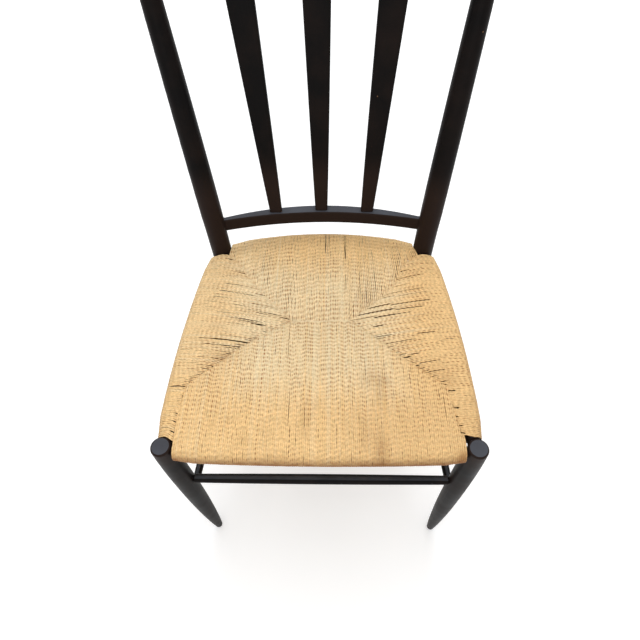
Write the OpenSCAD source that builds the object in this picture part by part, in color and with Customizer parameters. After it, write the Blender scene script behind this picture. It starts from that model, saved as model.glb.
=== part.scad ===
// High-back dining chair with a turned, ebonised frame and a woven paper-cord seat.
// The chair faces -Y and stands on Z = 0. Left and right are as the photographer sees them.
// X = 0 is the middle. Sizes are first worked out with Y = 0 at the front leg axes.

/* [Seat] */
// Height of the top of the woven seat
seat_h = 452; // [430:1:475]
// Distance between the axes of the front legs at their tops
front_w = 430; // [400:1:470]
// Distance between the axes of the back posts at their bend
back_w = 352; // [320:1:390]
// Distance from the front leg axes back to the bend of the posts
seat_d = 358; // [320:1:400]

/* [Front legs] */
// How far the top of a front leg lies below the top of the seat
leg_drop = 1; // [0:0.5:6]
// Thickest diameter of a front leg
leg_d = 32.5; // [30:0.5:38]
// How far the thickest place of a front leg lies below its top
leg_belly_drop = 111; // [80:1:150]
// Diameter of a front leg just under its rounded top edge
leg_top_d = 28; // [25:0.5:30]
// Diameter of all four legs just above their rounded feet
foot_d = 14; // [12:0.5:18]
// Radius of the rounded edge on top of a front leg
leg_top_round = 3.4; // [2:0.2:5]
// Radius of the rounded edge under every foot
foot_round = 3.5; // [2:0.5:5]
// How far a front foot stands outside the top of its leg
leg_out = 5; // [0:1:15]
// How far a front foot stands in front of the top of its leg
leg_fore = 7; // [0:1:20]

/* [Back posts] */
// Height of the tips of the back posts above the top of the seat
back_rise = 598; // [560:2:660]
// Height of the bend in the back posts above the top of the seat
bend_up = 0; // [-5:1:15]
// Radius of the bend along the axis of a post
bend_r = 170; // [155:5:220]
// Diameter of a post at its bend
bend_d = 34.2; // [30:0.2:38]
// Thickest diameter of a post, above the bend
post_d = 35.2; // [31:0.2:40]
// Height of the thickest place of a post above its bend
swell_up = 78; // [50:2:110]
// Diameter of the domed tip of a post
tip_d = 19; // [16:0.5:24]
// How far the back leans back from the vertical, in degrees
post_rake = 12.3; // [8:0.1:16]
// How far a post leans outwards from the vertical, in degrees
post_flare = 4.4; // [1:0.1:8]
// How far a rear leg slopes back on its way down, in degrees
rear_kick = 5.5; // [2:0.5:9]

/* [Seat rails] */
// Diameter of the four bowed seat rails
rail_d = 26; // [22:0.5:30]
// Diameter of a seat rail where it meets a leg or post
rail_end_d = 20; // [18:0.5:22]
// Diameter of the round tenons on the seat rails
rail_tenon_d = 15; // [12:0.5:17]
// Length over which a seat rail tapers towards its tenon
rail_taper = 29; // [20:1:40]
// Angle at which the front rail leaves the legs
front_bow = 2.2; // [0.5:0.1:5]
// Angle at which the rear rail leaves the posts
rear_bow = 12.6; // [5:0.1:16]
// Angle at which the side rails leave legs and posts, measured from the straight line
side_bow = 4.3; // [1:0.1:8]
// How far the side rails enter the front legs inside the legs' axes
side_rail_in = 3; // [0:0.5:4]
// How far the side rails enter the posts outside the posts' axes
side_rail_out = 3.5; // [0:0.5:5]

/* [Stretchers] */
// Height of the front stretcher
front_rung_z = 312; // [280:1:340]
// Height of the two side stretchers
side_rung_z = 242; // [200:1:260]
// Height of the rear stretcher
rear_rung_z = 312; // [280:1:340]
// Diameter of the front stretcher
front_rung_d = 16; // [14:0.5:20]
// Diameter of the side and rear stretchers
side_rung_d = 14.5; // [13:0.5:18]
// Share of its diameter that a stretcher keeps at its ends
rung_end_share = 0.87; // [0.8:0.01:0.95]
// Diameter of the round tenons on the stretchers
rung_tenon_d = 10.5; // [9:0.5:11]

/* [Back rails] */
// Distance up the back from the bend to the middle of the lower rail
low_rail_up = 46; // [40:1:80]
// Height of the lower rail
low_rail_h = 21; // [16:0.5:30]
// Thickness of the lower rail at its middle
low_rail_t = 23; // [18:0.5:26]
// How far the front face of the lower rail bows backwards
low_rail_bow = 24; // [15:1:35]
// Distance up the back from the bend to the middle of the crest rail
crest_up = 546; // [500:1:560]
// Height of the crest rail at its middle
crest_h = 52; // [40:1:60]
// Height of the crest rail at its ends
crest_end_h = 34; // [30:1:40]
// Thickness of the crest rail at its middle
crest_t = 16; // [14:0.5:22]
// How far the front face of the crest rail bows backwards
crest_bow = 16; // [8:1:30]
// Thickness of both back rails where they enter the posts
back_tenon_t = 11; // [8:0.5:13]
// How far the back rails enter the posts
back_tenon_l = 13; // [10:0.5:15]
// Radius of the eased long edges of the back rails
rail_edge_r = 2.2; // [1:0.2:3]

/* [Slats] */
// Distance from the middle to a side slat at the lower rail
slat_low_x = 77.5; // [60:0.5:90]
// Distance from the middle to a side slat at the crest rail
slat_top_x = 107.5; // [85:0.5:125]
// Width of a slat at the lower rail
slat_low_w = 20.8; // [16:0.2:26]
// Width of a slat at the crest rail
slat_top_w = 44.4; // [30:0.2:48]
// Thickness of a slat
slat_t = 10.5; // [9:0.5:12]
// Radius of the rounded long edges of a slat
slat_edge_r = 3.6; // [2:0.2:4.2]
// How far the middle of a slat lies behind the front face of the lower rail
slat_set = 10; // [8:0.5:11]
// Diameter of the round tenons at both ends of a slat
slat_tenon_d = 7; // [5:0.5:8]
// Length of the round tenons at both ends of a slat
slat_tenon_l = 12; // [8:0.5:14]

/* [Woven seat] */
// Diameter of the twisted paper cord
cord_d = 2.8; // [2:0.1:3.4]
// How much the panels swell between rail and seam
weave_crown = 2.4; // [0:0.2:4]
// How far the top of the seat dips at the seams
weave_dip = 4; // [0:0.5:6]
// How far the underside rises towards the seams
weave_rise = 6; // [0:0.5:8]
// Thickness of the stack of card inside each panel
card_t = 14; // [8:0.5:14.5]
// Clear space between the card and the seams
card_inset = 6; // [4:1:10]

/* [Fits] */
// Clearance all round a tenon in its mortise
fit = 0.15; // [0.1:0.05:0.25]
// Gap between a tenon's end and the bottom of its mortise, or its mitred neighbour
end_gap = 0.6; // [0.3:0.1:1]
// Gap between the weave and the wood that it touches
weave_gap = 0.25; // [0.2:0.05:0.4]

/* [Hidden] */
round_steps = 64;
// Keeps the start line of a turned surface off the side that it leans to
seam_turn = 90;
$fn = round_steps;

ebony = "#26201d";
cord_tan = "#d9b67f";
card_brown = "#a98a63";

// Steps in the outlines of turned pieces, in curved rails and round the weave
turn_steps = 14;
edge_steps = 4;
bow_steps = 12;
low_rail_steps = 17;
crest_steps = 15;
slat_steps = 8;
roll_steps = 8;
top_steps = 4;

// Shapes of the swelling curves, as powers
leg_foot_power = 2.4;
leg_head_power = 2;
post_power = 1.33;
slat_power = 0.88;

// Where the weave's seams run, as shares of half the seat's width and of its depth
gusset_end_shares = [0.888, 0.26];
bridge_shares = [0.209, 0.584];
rear_corner_shares = [0.92, 0.945];
// Share of the half width at which a panel's extra sections lie
station_shares = [0.2, 0.4, 0.6, 0.8];

// The height of the seat rails' axes puts the top of the cord at the height of the seat
rail_z = seat_h - cord_d - weave_gap - rail_d / 2;
// Heights that follow the seat
leg_h = seat_h - leg_drop;
leg_belly_z = leg_h - leg_belly_drop;
bend_z = seat_h + bend_up;
swell_z = bend_z + swell_up;
post_h = seat_h + back_rise;
// How far a leg first runs on below the floor, and how deep the cut that trims it is
foot_over = foot_d / 2;
// How far above the floor the rounded edge of a foot begins, so that a slanting leg stands flat
foot_pad = 0.6;
cut_over = 2 * foot_d;
// A straight stretch starts this far inside the arc it continues, and this much slimmer
arc_lap = 1;
arc_step = 0.05;

// Front legs and back posts, all for the right side of the chair
leg_top = [front_w / 2, 0, leg_h];
leg_foot = [front_w / 2 + leg_out, -leg_fore, 0];
function leg_at(z) = leg_foot + (leg_top - leg_foot) * z / leg_h;
function leg_r(z) = z < leg_belly_z
    ? (leg_d - (leg_d - foot_d) * pow(1 - z / leg_belly_z, leg_foot_power)) / 2
    : (leg_d - (leg_d - leg_top_d) * pow((z - leg_belly_z) / (leg_h - leg_belly_z), leg_head_power)) / 2;

bend_at = [back_w / 2, seat_d, bend_z];
post_up = [tan(post_flare), tan(post_rake), 1];
post_down = [tan(rear_kick) * tan(post_flare) / tan(post_rake), tan(rear_kick), -1];
function post_at(z) = bend_at + (z > bend_z ? post_up * (z - bend_z) : post_down * (bend_z - z));
up_lean = acos(1 / norm(post_up));
down_lean = acos(1 / norm(post_down));
bend_turn = up_lean + down_lean;
bend_run = bend_r * tan(bend_turn / 2);
bend_heading = atan2(post_up[1], post_up[0]);
bend_high_z = bend_z + bend_run * cos(up_lean);
bend_low_z = bend_z - bend_run * cos(down_lean);
tip_z = post_h - tip_d / 2;
function post_r(z) = z > swell_z
    ? (post_d - (post_d - tip_d) * pow((z - swell_z) / (tip_z - swell_z), post_power)) / 2
    : z > bend_high_z
    ? (post_d - (post_d - bend_d) * pow((swell_z - z) / (swell_z - bend_high_z), 2)) / 2
    : z > bend_low_z ? bend_d / 2
    : (bend_d - (bend_d - foot_d) * pow(1 - z / bend_low_z, leg_foot_power)) / 2;

// Seat rails in plan. Each runs straight out of its leg, then bends in one arc.
function flat(p) = [p[0], p[1]];
function heading(a) = [cos(a), sin(a)];
function turn_of(v) = atan2(v[1], v[0]);
leg_in = flat(leg_at(rail_z));
post_in = flat(post_at(rail_z));
side_front = leg_in - [side_rail_in, 0];
side_back = post_in + [side_rail_out, 0];
side_chord = norm(side_back - side_front);
side_turn = turn_of(side_back - side_front);
front_chord = 2 * leg_in[0];
rear_chord = 2 * post_in[0];
leg_skin = leg_r(rail_z);
post_skin = bend_d / 2;
front_straight = leg_skin + rail_taper;
rear_straight = post_skin + rail_taper;
wrap_r = rail_d / 2 + weave_gap + cord_d;

// How far a rail's axis lies outside the straight line between its ends, s from the middle
function arc_r(chord, straight, bow) = (chord / 2 - straight * cos(bow)) / sin(bow);
function bow_at(s, chord, straight, bow) = abs(s) > chord / 2 - straight * cos(bow)
    ? (chord / 2 - abs(s)) * tan(bow)
    : straight * sin(bow) + sqrt(pow(arc_r(chord, straight, bow), 2) - s * s)
        - arc_r(chord, straight, bow) * cos(bow);
// Radius of a rail at s from its middle, inside the weave
function rail_r_at(s, chord, skin) = let (from_leg = chord / 2 - abs(s) - skin)
    from_leg > rail_taper ? rail_d / 2
    : rail_end_d / 2 + (rail_d - rail_end_d) / 2 * max(0, from_leg) / rail_taper;

// The whole chair is moved so that the middle of its footprint lies at the origin.
// The seat's front edge and the upper back edge of the crest rail reach furthest.
chair_front = leg_in[1] - bow_at(0, front_chord, front_straight, front_bow) - wrap_r;
chair_back = seat_d + (crest_bow + crest_t - rail_edge_r) * cos(post_rake)
    + (crest_up + crest_h - crest_end_h / 2 - rail_edge_r) * sin(post_rake) + rail_edge_r;
mid_y = (chair_front + chair_back) / 2;

// Rail axes for the weave: the front and rear ones by x, the right one by y
function front_axis(x) = leg_in[1] - bow_at(x, front_chord, front_straight, front_bow);
function rear_axis(x) = post_in[1] + bow_at(x, rear_chord, rear_straight, rear_bow);
side_mid = (side_front + side_back) / 2;
function side_s(y) = let (s = (y - side_mid[1]) / sin(side_turn))
    s + bow_at(s, side_chord, rear_straight, side_bow) * cos(side_turn) / sin(side_turn);
function side_axis(y) = let (s = side_s(y))
    side_mid[0] + s * cos(side_turn) + bow_at(s, side_chord, rear_straight, side_bow) * sin(side_turn);

// Where two seat rails' axes cross inside a leg, seen from above
function crossing(p, u, q, v) = p + u * ((q - p)[0] * v[1] - (q - p)[1] * v[0]) / (u[0] * v[1] - u[1] * v[0]);
front_out = 180 + front_bow;
rear_out = 180 - rear_bow;
side_fore_out = side_turn - side_bow;
side_aft_out = side_turn + 180 + side_bow;
fore_cross = crossing(leg_in, heading(front_out), side_front, heading(side_fore_out));
aft_cross = crossing(post_in, heading(rear_out), side_back, heading(side_aft_out));
fore_mitre = (front_out + side_fore_out) / 2;
aft_mitre = (rear_out + side_aft_out) / 2;

// The back's own frame: X across, Y square to the back, Z up the rake from the bend
function back_post_x(up) = back_w / 2 + tan(post_flare) * cos(post_rake) * up;
function back_post_r(up) = post_r(bend_z + up * cos(post_rake));
low_rail_x = back_post_x(low_rail_up) - back_post_r(low_rail_up) - fit;
crest_x = back_post_x(crest_up) - back_post_r(crest_up) - fit;
function bowed(x, half, bow) = bow * (1 - pow(x / half, 2));

module in_place() translate([0, -mid_y, 0]) children();
module mirrored() mirror([1, 0, 0]) children();
module both_sides() { children(); mirrored() children(); }
module in_back() translate([0, seat_d, bend_z]) rotate([-post_rake, 0, 0]) children();

// Leans a child that stands on +Z so that it runs from a towards b
module along(a, b) {
    way = b - a;
    translate(a) rotate([0, acos(way[2] / norm(way)), atan2(way[1], way[0])])
        rotate([0, 0, seam_turn]) children();
}

// A front leg along its own axis: rounded foot, belly, rounded top with a flat disc
module turned_leg(length) {
    rotate_extrude() polygon(concat(
        [[0, -foot_over], [foot_d / 2 - foot_round, -foot_over], [foot_d / 2 - foot_round, foot_pad]],
        [for (i = [1:edge_steps]) let (a = 90 * i / edge_steps)
            [foot_d / 2 - foot_round * (1 - sin(a)), foot_pad + foot_round * (1 - cos(a))]],
        [for (i = [1:turn_steps]) let (low = foot_pad + foot_round,
            z = low + (length - leg_top_round - low) * i / turn_steps) [leg_r(z), z]],
        [for (i = [1:edge_steps]) let (a = 90 * i / edge_steps)
            [leg_r(length) - leg_top_round * (1 - cos(a)), length - leg_top_round * (1 - sin(a))]],
        [[0, length]]));
}

// Everything below the floor, to cut the feet flat
module below_floor() translate([0, 0, -cut_over / 2]) cube([2 * front_w, 4 * seat_d, cut_over], center = true);

module round_bore(from, to, d) along(from, to) cylinder(d = d + 2 * fit, h = norm(to - from));

// The flat side of a mitred tenon: keep is the side of the line that stays, -1 right or 1 left
module mitre(at, turn, keep) translate([at[0], at[1], rail_z]) rotate([0, 0, turn])
    translate([0, -keep * (rail_tenon_d - end_gap / 2), 0])
        cube([4 * rail_tenon_d, 2 * rail_tenon_d, 2 * rail_tenon_d], center = true);

// The round mortise of a seat rail, from outside the leg past the crossing
module rail_bore(at, turn, skin) translate([at[0], at[1], rail_z]) rotate([0, 90, turn])
    translate([0, 0, -rail_tenon_d / 2 - end_gap])
        cylinder(d = rail_tenon_d + 2 * fit, h = rail_tenon_d / 2 + end_gap + 2 * skin);

module front_leg() difference() {
    along(leg_foot, leg_top) turned_leg(norm(leg_top - leg_foot));
    below_floor();
    rail_bore(leg_in, front_out, leg_skin);
    rail_bore(side_front, side_fore_out, leg_skin);
    rung_bore(leg_at(front_rung_z), mirror_x(leg_at(front_rung_z)));
    rung_bore(leg_at(side_rung_z), post_at(side_rung_z));
}

function mirror_x(p) = [-p[0], p[1], p[2]];
// A stretcher's mortise: it starts just past the leg's axis and runs out of the leg
module rung_bore(from, to) {
    way = (to - from) / norm(to - from);
    round_bore(from - way * end_gap, from + way * leg_d, rung_tenon_d);
}

// The straight stretch of a post above or below its bend, along its own axis
bend_start = [[0, bend_run - arc_lap], [bend_d / 2 - arc_step, bend_run - arc_lap],
    [bend_d / 2 - arc_step, bend_run], [bend_d / 2, bend_run + arc_lap]];
module post_top() {
    run = norm(post_up);
    rotate_extrude() polygon(concat(bend_start,
        [for (i = [1:turn_steps]) let (z = bend_high_z + (tip_z - bend_high_z) * i / turn_steps)
            [post_r(z), (z - bend_z) * run]],
        [[0, (tip_z - bend_z) * run]]));
    translate([0, 0, (tip_z - bend_z) * run]) sphere(d = tip_d);
}
module post_leg() {
    run = norm(post_down);
    low = bend_z * run;
    rotate_extrude() polygon(concat(bend_start,
        [for (i = [1:turn_steps]) let (z = bend_low_z + (foot_pad + foot_round - bend_low_z) * i / turn_steps)
            [post_r(z), (bend_z - z) * run]],
        [for (i = [1:edge_steps]) let (a = 90 * i / edge_steps)
            [post_r(foot_round) - foot_round * (1 - cos(a)), low - foot_pad - foot_round * (1 - sin(a))]],
        [[post_r(foot_round) - foot_round, low + foot_over], [0, low + foot_over]]));
}
module post_bend() translate(bend_at) rotate([0, 0, bend_heading]) rotate([90, 0, 0])
    rotate([0, 0, (down_lean - up_lean) / 2]) translate([bend_r / cos(bend_turn / 2), 0, 0])
        rotate([0, 0, 180 - bend_turn / 2]) rotate_extrude(angle = bend_turn)
            translate([bend_r, 0]) circle(d = bend_d);

module back_post() difference() {
    union() {
        along(bend_at, bend_at + post_up) post_top();
        post_bend();
        along(bend_at, bend_at + post_down) post_leg();
    }
    below_floor();
    rail_bore(post_in, rear_out, post_skin);
    rail_bore(side_back, side_aft_out, post_skin);
    rung_bore(post_at(rear_rung_z), mirror_x(post_at(rear_rung_z)));
    rung_bore(post_at(side_rung_z), leg_at(side_rung_z));
    in_back() {
        flat_bore(low_rail_up, low_rail_x, low_rail_h);
        flat_bore(crest_up, crest_x, crest_end_h);
    }
}

// Outline of a bar with eased edges, centred
function eased(w, h, r) = [for (c = [0:3], i = [0:edge_steps - 1])
    let (a = 90 * c + 90 * i / (edge_steps - 1), sx = (c == 0 || c == 3) ? 1 : -1, sy = c < 2 ? 1 : -1)
    [sx * (w / 2 - r) + r * cos(a), sy * (h / 2 - r) + r * sin(a)]];
function at_x(x, y, z, outline) = [for (p = outline) [x, y + p[0], z + p[1]]];

// The mortise of a back rail in the right post
module flat_bore(up, x, h) translate([x - back_tenon_l, back_tenon_t / 2, up]) rotate([90, 0, 90])
    linear_extrude(2 * back_tenon_l + end_gap)
        polygon(eased(back_tenon_t + 2 * fit, h + 2 * fit, rail_edge_r + fit));
module flat_tenon(x, h) translate([x, back_tenon_t / 2, 0]) rotate([90, 0, 90])
    linear_extrude(back_tenon_l) polygon(eased(back_tenon_t, h, rail_edge_r));

// A closed skin over rings of points, capped at both ends
module loft(rings) {
    n = len(rings[0]);
    m = len(rings);
    polyhedron(points = [for (r = rings) each r], convexity = 4, faces = concat(
        [[for (j = [0:n - 1]) j]],
        [for (i = [0:m - 2], j = [0:n - 1]) let (a = i * n + j, b = i * n + (j + 1) % n) each
            [[a, a + n, b + n], [a, b + n, b]]],
        [[for (j = [n - 1:-1:0]) (m - 1) * n + j]]));
}

// A pipe with a closed loop as its section: rings outside, rings inside, open at both ends
module pipe(outer, inner) {
    n = len(outer[0]);
    m = len(outer);
    k = n * m;
    polyhedron(points = [for (r = concat(outer, inner)) each r], convexity = 6, faces = concat(
        [for (i = [0:m - 2], j = [0:n - 1]) let (a = i * n + j, b = i * n + (j + 1) % n) each
            [[a, a + n, b + n], [a, b + n, b], [k + a, k + b + n, k + a + n], [k + a, k + b, k + b + n]]],
        [for (j = [0:n - 1]) let (b = (j + 1) % n) each
            [[j, b, k + b], [j, k + b, k + j]]],
        [for (j = [0:n - 1]) let (a = (m - 1) * n + j, b = (m - 1) * n + (j + 1) % n) each
            [[a, k + b, b], [a, k + a, k + b]]]));
}

// A rail along X in the back's frame, bowed backwards and thicker at its middle
module curved_rail(half, up, bow, mid_t, mid_h, end_h, steps) translate([0, 0, up]) difference() {
    union() {
        loft([for (i = [0:steps]) let (x = half * (2 * i / steps - 1),
            t = bowed(x, half, mid_t - back_tenon_t) + back_tenon_t, h = bowed(x, half, mid_h - end_h) + end_h)
            at_x(x, bowed(x, half, bow) + t / 2, (h - end_h) / 2, eased(t, h, rail_edge_r))]);
        both_sides() flat_tenon(half, end_h);
    }
    children();
}

slat_low_z = low_rail_h / 2 + fit;
slat_high_z = crest_up - low_rail_up - crest_end_h / 2 - fit;
function slat_low(i) = [i * slat_low_x, bowed(i * slat_low_x, low_rail_x, low_rail_bow) + slat_set,
    low_rail_up + slat_low_z];
function slat_high(i) = [i * slat_top_x, bowed(i * slat_top_x, crest_x, crest_bow)
    + (bowed(i * slat_top_x, crest_x, crest_t - back_tenon_t) + back_tenon_t) / 2, low_rail_up + slat_high_z];
function slat_end(i, high, over) = let (a = slat_low(i), b = slat_high(i), way = (b - a) / norm(b - a))
    high ? b + way * over : a - way * over;

module slat_tenon_at(i, high, extra) along(slat_end(i, high, -slat_t), slat_end(i, high, slat_tenon_l + extra))
    cylinder(d = slat_tenon_d + (extra > 0 ? 2 * fit : 0), h = slat_t + slat_tenon_l + extra);

// One flat slat in the back's frame, i steps of the slat spacing from the middle
module slat(i) {
    low = slat_low(i);
    high = slat_high(i);
    loft([for (k = [0:slat_steps]) let (u = k / slat_steps, c = low + (high - low) * u,
        w = slat_low_w + (slat_top_w - slat_low_w) * pow(u, slat_power))
        [for (p = eased(w, slat_t, slat_edge_r)) [c[0] + p[0], c[1] + p[1], c[2]]]]);
    slat_tenon_at(i, false, 0);
    slat_tenon_at(i, true, 0);
}

// A round stretcher between two leg axes, slimmer at its ends, with a round tenon at each end
module rung(a, b, d, ra, rb) {
    length = norm(b - a);
    from = ra + fit;
    to = length - rb - fit;
    shoulder = (d * rung_end_share - rung_tenon_d) / 2;
    along(a, b) rotate_extrude() polygon(concat(
        [[0, 0], [rung_tenon_d / 2, 0], [rung_tenon_d / 2, from]],
        [for (i = [0:turn_steps]) let (u = i / turn_steps, z = from + shoulder + (to - from - 2 * shoulder) * u)
            [d / 2 * (rung_end_share + (1 - rung_end_share) * sin(180 * u)), z]],
        [[rung_tenon_d / 2, to], [rung_tenon_d / 2, length], [0, length]]));
}

// One end of a seat rail along +Z from its arc: taper, shoulder and tenon past the crossing
module rail_end(skin, straight) {
    shoulder = (rail_end_d - rail_tenon_d) / 2;
    taper_to = straight - skin - fit;
    translate([0, 0, -arc_lap])
        cylinder(d1 = rail_d - 2 * arc_step, d2 = rail_end_d, h = taper_to - shoulder + arc_lap);
    translate([0, 0, taper_to - shoulder]) cylinder(d1 = rail_end_d, d2 = rail_tenon_d, h = shoulder);
    cylinder(d = rail_tenon_d, h = straight + rail_tenon_d / 2);
}

// A bowed rail centred on the middle of its chord: X along the chord, bowing towards +Y
module bowed_rail(chord, straight, bow, skin_a, skin_b) {
    r = arc_r(chord, straight, bow);
    translate([0, straight * sin(bow) - r * cos(bow), 0]) rotate([0, 0, 90 - bow])
        rotate_extrude(angle = 2 * bow, $fn = bow_steps * 180 / bow)
            translate([r, 0]) circle(d = rail_d, $fn = round_steps);
    translate([-r * sin(bow), straight * sin(bow), 0]) rotate([0, -90, bow]) rail_end(skin_a, straight);
    translate([r * sin(bow), straight * sin(bow), 0]) rotate([0, 90, -bow]) rail_end(skin_b, straight);
}

module front_rail() difference() {
    translate([0, leg_in[1], rail_z]) rotate([0, 0, 180])
        bowed_rail(front_chord, front_straight, front_bow, leg_skin, leg_skin);
    both_sides() mitre(fore_cross, fore_mitre, 1);
}
module rear_rail() difference() {
    translate([0, post_in[1], rail_z]) bowed_rail(rear_chord, rear_straight, rear_bow, post_skin, post_skin);
    both_sides() mitre(aft_cross, aft_mitre, -1);
}
// The right rail runs from the leg to the post, and its bow is to the right of that way
module side_rail() difference() {
    translate([side_mid[0], side_mid[1], rail_z]) rotate([0, 0, side_turn + 180])
        bowed_rail(side_chord, rear_straight, side_bow, post_skin, leg_skin);
    mitre(fore_cross, fore_mitre, -1);
    mitre(aft_cross, aft_mitre, 1);
}

// One turn of the weave round its rail, [inwards, up] from the rail's axis, in from its skin
function wrap(r, reach, inset) = let (small = min(1, reach / (4 * wrap_r)), rr = r - inset,
    end = reach - inset)
    concat(
        [for (i = [top_steps:-1:0]) let (u = i / top_steps)
            [end * u, rr + small * (weave_crown * sin(180 * u) - weave_dip * u * u)]],
        [for (i = [1:roll_steps - 1]) let (a = 180 * i / roll_steps) [-rr * sin(a), rr * cos(a)]],
        [for (i = [0:top_steps]) let (u = i / top_steps) [end * u, -rr + small * weave_rise * u * u]]);

// The seams' corners on the right half, from the front leg round to the back post
panel_end_x = leg_in[0] - leg_r(rail_z - wrap_r) - 2 * weave_gap;
panel_front_y = leg_in[1] + leg_r(rail_z - wrap_r) + 2 * weave_gap;
panel_back_y = seat_d - bend_d / 2 - 2 * weave_gap;
rear_end_x = back_w / 2 - bend_d / 2 - 2 * weave_gap;
gusset_end = [gusset_end_shares[0] * front_w / 2, gusset_end_shares[1] * seat_d];
bridge = [bridge_shares[0] * front_w / 2, bridge_shares[1] * seat_d];
rear_corner = [rear_corner_shares[0] * back_w / 2, rear_corner_shares[1] * seat_d];
end_wrap_r = rail_end_d / 2 + weave_gap + cord_d;
front_corner = [side_axis(panel_front_y) - end_wrap_r - weave_gap, panel_front_y];

// How far in each panel reaches: the seam, or at least round the rail
seam_gap = weave_gap / 2;
function wrap_at(s, chord, skin) = rail_r_at(s, chord, skin) + weave_gap + cord_d;
function front_seam(x) = lookup(abs(x), [[0, bridge[1]], bridge, gusset_end, front_corner]);
function rear_seam(x) = lookup(abs(x), [[0, bridge[1]], bridge, rear_corner]);
function side_seam(y) = lookup(y, [[front_corner[1], front_corner[0]], [gusset_end[1], gusset_end[0]],
    [bridge[1], bridge[0]], [rear_corner[1], rear_corner[0]]]);

function front_ring(x, inset) = let (r = wrap_at(x, front_chord, leg_skin), y = front_axis(x),
    reach = max(r, front_seam(x) - seam_gap - y))
    [for (p = wrap(r, reach, inset)) [x, y + p[0], rail_z + p[1]]];
function rear_ring(x, inset) = let (r = wrap_at(x, rear_chord, post_skin), y = rear_axis(x),
    reach = max(r, y - rear_seam(x) - seam_gap))
    [for (p = wrap(r, reach, inset)) [x, y - p[0], rail_z + p[1]]];
function side_ring(y, inset) = let (r = wrap_at(side_s(y), side_chord, post_skin), x = side_axis(y),
    reach = max(r, x - side_seam(y) - seam_gap))
    [for (p = wrap(r, reach, inset)) [x - p[0], y, rail_z + p[1]]];

// Stations along each rail, from one end of the panel to the other
function between(a, b) = [for (u = station_shares) a + (b - a) * u];
half_front = concat([0, bridge[0]], between(bridge[0], gusset_end[0]),
    [gusset_end[0], (gusset_end[0] + front_corner[0]) / 2, front_corner[0], panel_end_x]);
half_rear = concat([0, bridge[0]], between(bridge[0], rear_corner[0]), [rear_end_x]);
side_ys = concat([panel_front_y, (panel_front_y + gusset_end[1]) / 2, gusset_end[1]],
    between(gusset_end[1], bridge[1]), [bridge[1]], between(bridge[1], rear_corner[1]),
    [rear_corner[1], panel_back_y]);
function mirrored_list(half) = concat([for (i = [len(half) - 1:-1:1]) -half[i]], half);

module woven_front() pipe([for (x = mirrored_list(half_front)) front_ring(x, 0)],
    [for (x = mirrored_list(half_front)) front_ring(x, cord_d)]);
module woven_rear() mirrored() pipe([for (x = mirrored_list(half_rear)) rear_ring(x, 0)],
    [for (x = mirrored_list(half_rear)) rear_ring(x, cord_d)]);
module woven_side() pipe([for (y = side_ys) side_ring(y, 0)], [for (y = side_ys) side_ring(y, cord_d)]);

// The card stuffing lies on the lower layer of cord
card_z = rail_z - wrap_r + weave_rise + cord_d + weave_gap;
rail_clear = rail_d / 2 + card_inset / 2;
module card(outline) translate([0, 0, card_z]) linear_extrude(card_t) polygon(outline);
function mirror_outline(half) = concat(half, [for (i = [len(half) - 1:-1:0]) [-half[i][0], half[i][1]]]);
module card_front() card(mirror_outline([
    [bridge[0] - card_inset, bridge[1] - card_inset],
    [gusset_end[0] - 2 * card_inset, gusset_end[1] - card_inset],
    [gusset_end[0] - 2 * card_inset, leg_in[1] + rail_clear]]));
module card_rear() card(mirror_outline(concat([
    [bridge[0] - card_inset, bridge[1] + card_inset],
    [rear_corner[0] - 2 * card_inset, rear_corner[1] - card_inset]],
    [for (u = [station_shares[3], station_shares[1], 0]) let (x = u * rear_corner[0])
        [x, rear_axis(x) - rail_clear]])));
module card_side() card(concat([bridge + [2 * card_inset, 0]],
    [for (y = [gusset_end[1] + card_inset, bridge[1], rear_corner[1] - 4 * card_inset])
        [side_axis(y) - rail_clear, y]]));

module front_leg_left() color(ebony) in_place() mirrored() front_leg();
module front_leg_right() color(ebony) in_place() front_leg();
module back_post_left() color(ebony) in_place() mirrored() back_post();
module back_post_right() color(ebony) in_place() back_post();
module front_seat_rail() color(ebony) in_place() front_rail();
module rear_seat_rail() color(ebony) in_place() rear_rail();
module left_seat_rail() color(ebony) in_place() mirrored() side_rail();
module right_seat_rail() color(ebony) in_place() side_rail();
module front_stretcher() color(ebony) in_place() rung(mirror_x(leg_at(front_rung_z)), leg_at(front_rung_z),
    front_rung_d, leg_r(front_rung_z), leg_r(front_rung_z));
module rear_stretcher() color(ebony) in_place() rung(mirror_x(post_at(rear_rung_z)), post_at(rear_rung_z),
    side_rung_d, post_r(rear_rung_z), post_r(rear_rung_z));
module side_rung() rung(leg_at(side_rung_z), post_at(side_rung_z), side_rung_d,
    leg_r(side_rung_z), post_r(side_rung_z));
module left_stretcher() color(ebony) in_place() mirrored() side_rung();
module right_stretcher() color(ebony) in_place() side_rung();
module lower_back_rail() color(ebony) in_place() in_back()
    curved_rail(low_rail_x, low_rail_up, low_rail_bow, low_rail_t, low_rail_h, low_rail_h, low_rail_steps)
        translate([0, 0, -low_rail_up]) {
            slat_tenon_at(0, false, end_gap);
            both_sides() slat_tenon_at(1, false, end_gap);
        }
module crest_rail() color(ebony) in_place() in_back()
    curved_rail(crest_x, crest_up, crest_bow, crest_t, crest_h, crest_end_h, crest_steps)
        translate([0, 0, -crest_up]) {
            slat_tenon_at(0, true, end_gap);
            both_sides() slat_tenon_at(1, true, end_gap);
        }
module back_slat_left() color(ebony) in_place() in_back() mirrored() slat(1);
module back_slat_centre() color(ebony) in_place() in_back() slat(0);
module back_slat_right() color(ebony) in_place() in_back() slat(1);
module front_weave() color(cord_tan) in_place() woven_front();
module rear_weave() color(cord_tan) in_place() woven_rear();
module left_weave() color(cord_tan) in_place() mirrored() woven_side();
module right_weave() color(cord_tan) in_place() woven_side();
module front_card() color(card_brown) in_place() card_front();
module rear_card() color(card_brown) in_place() card_rear();
module left_card() color(card_brown) in_place() mirrored() card_side();
module right_card() color(card_brown) in_place() card_side();

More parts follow.
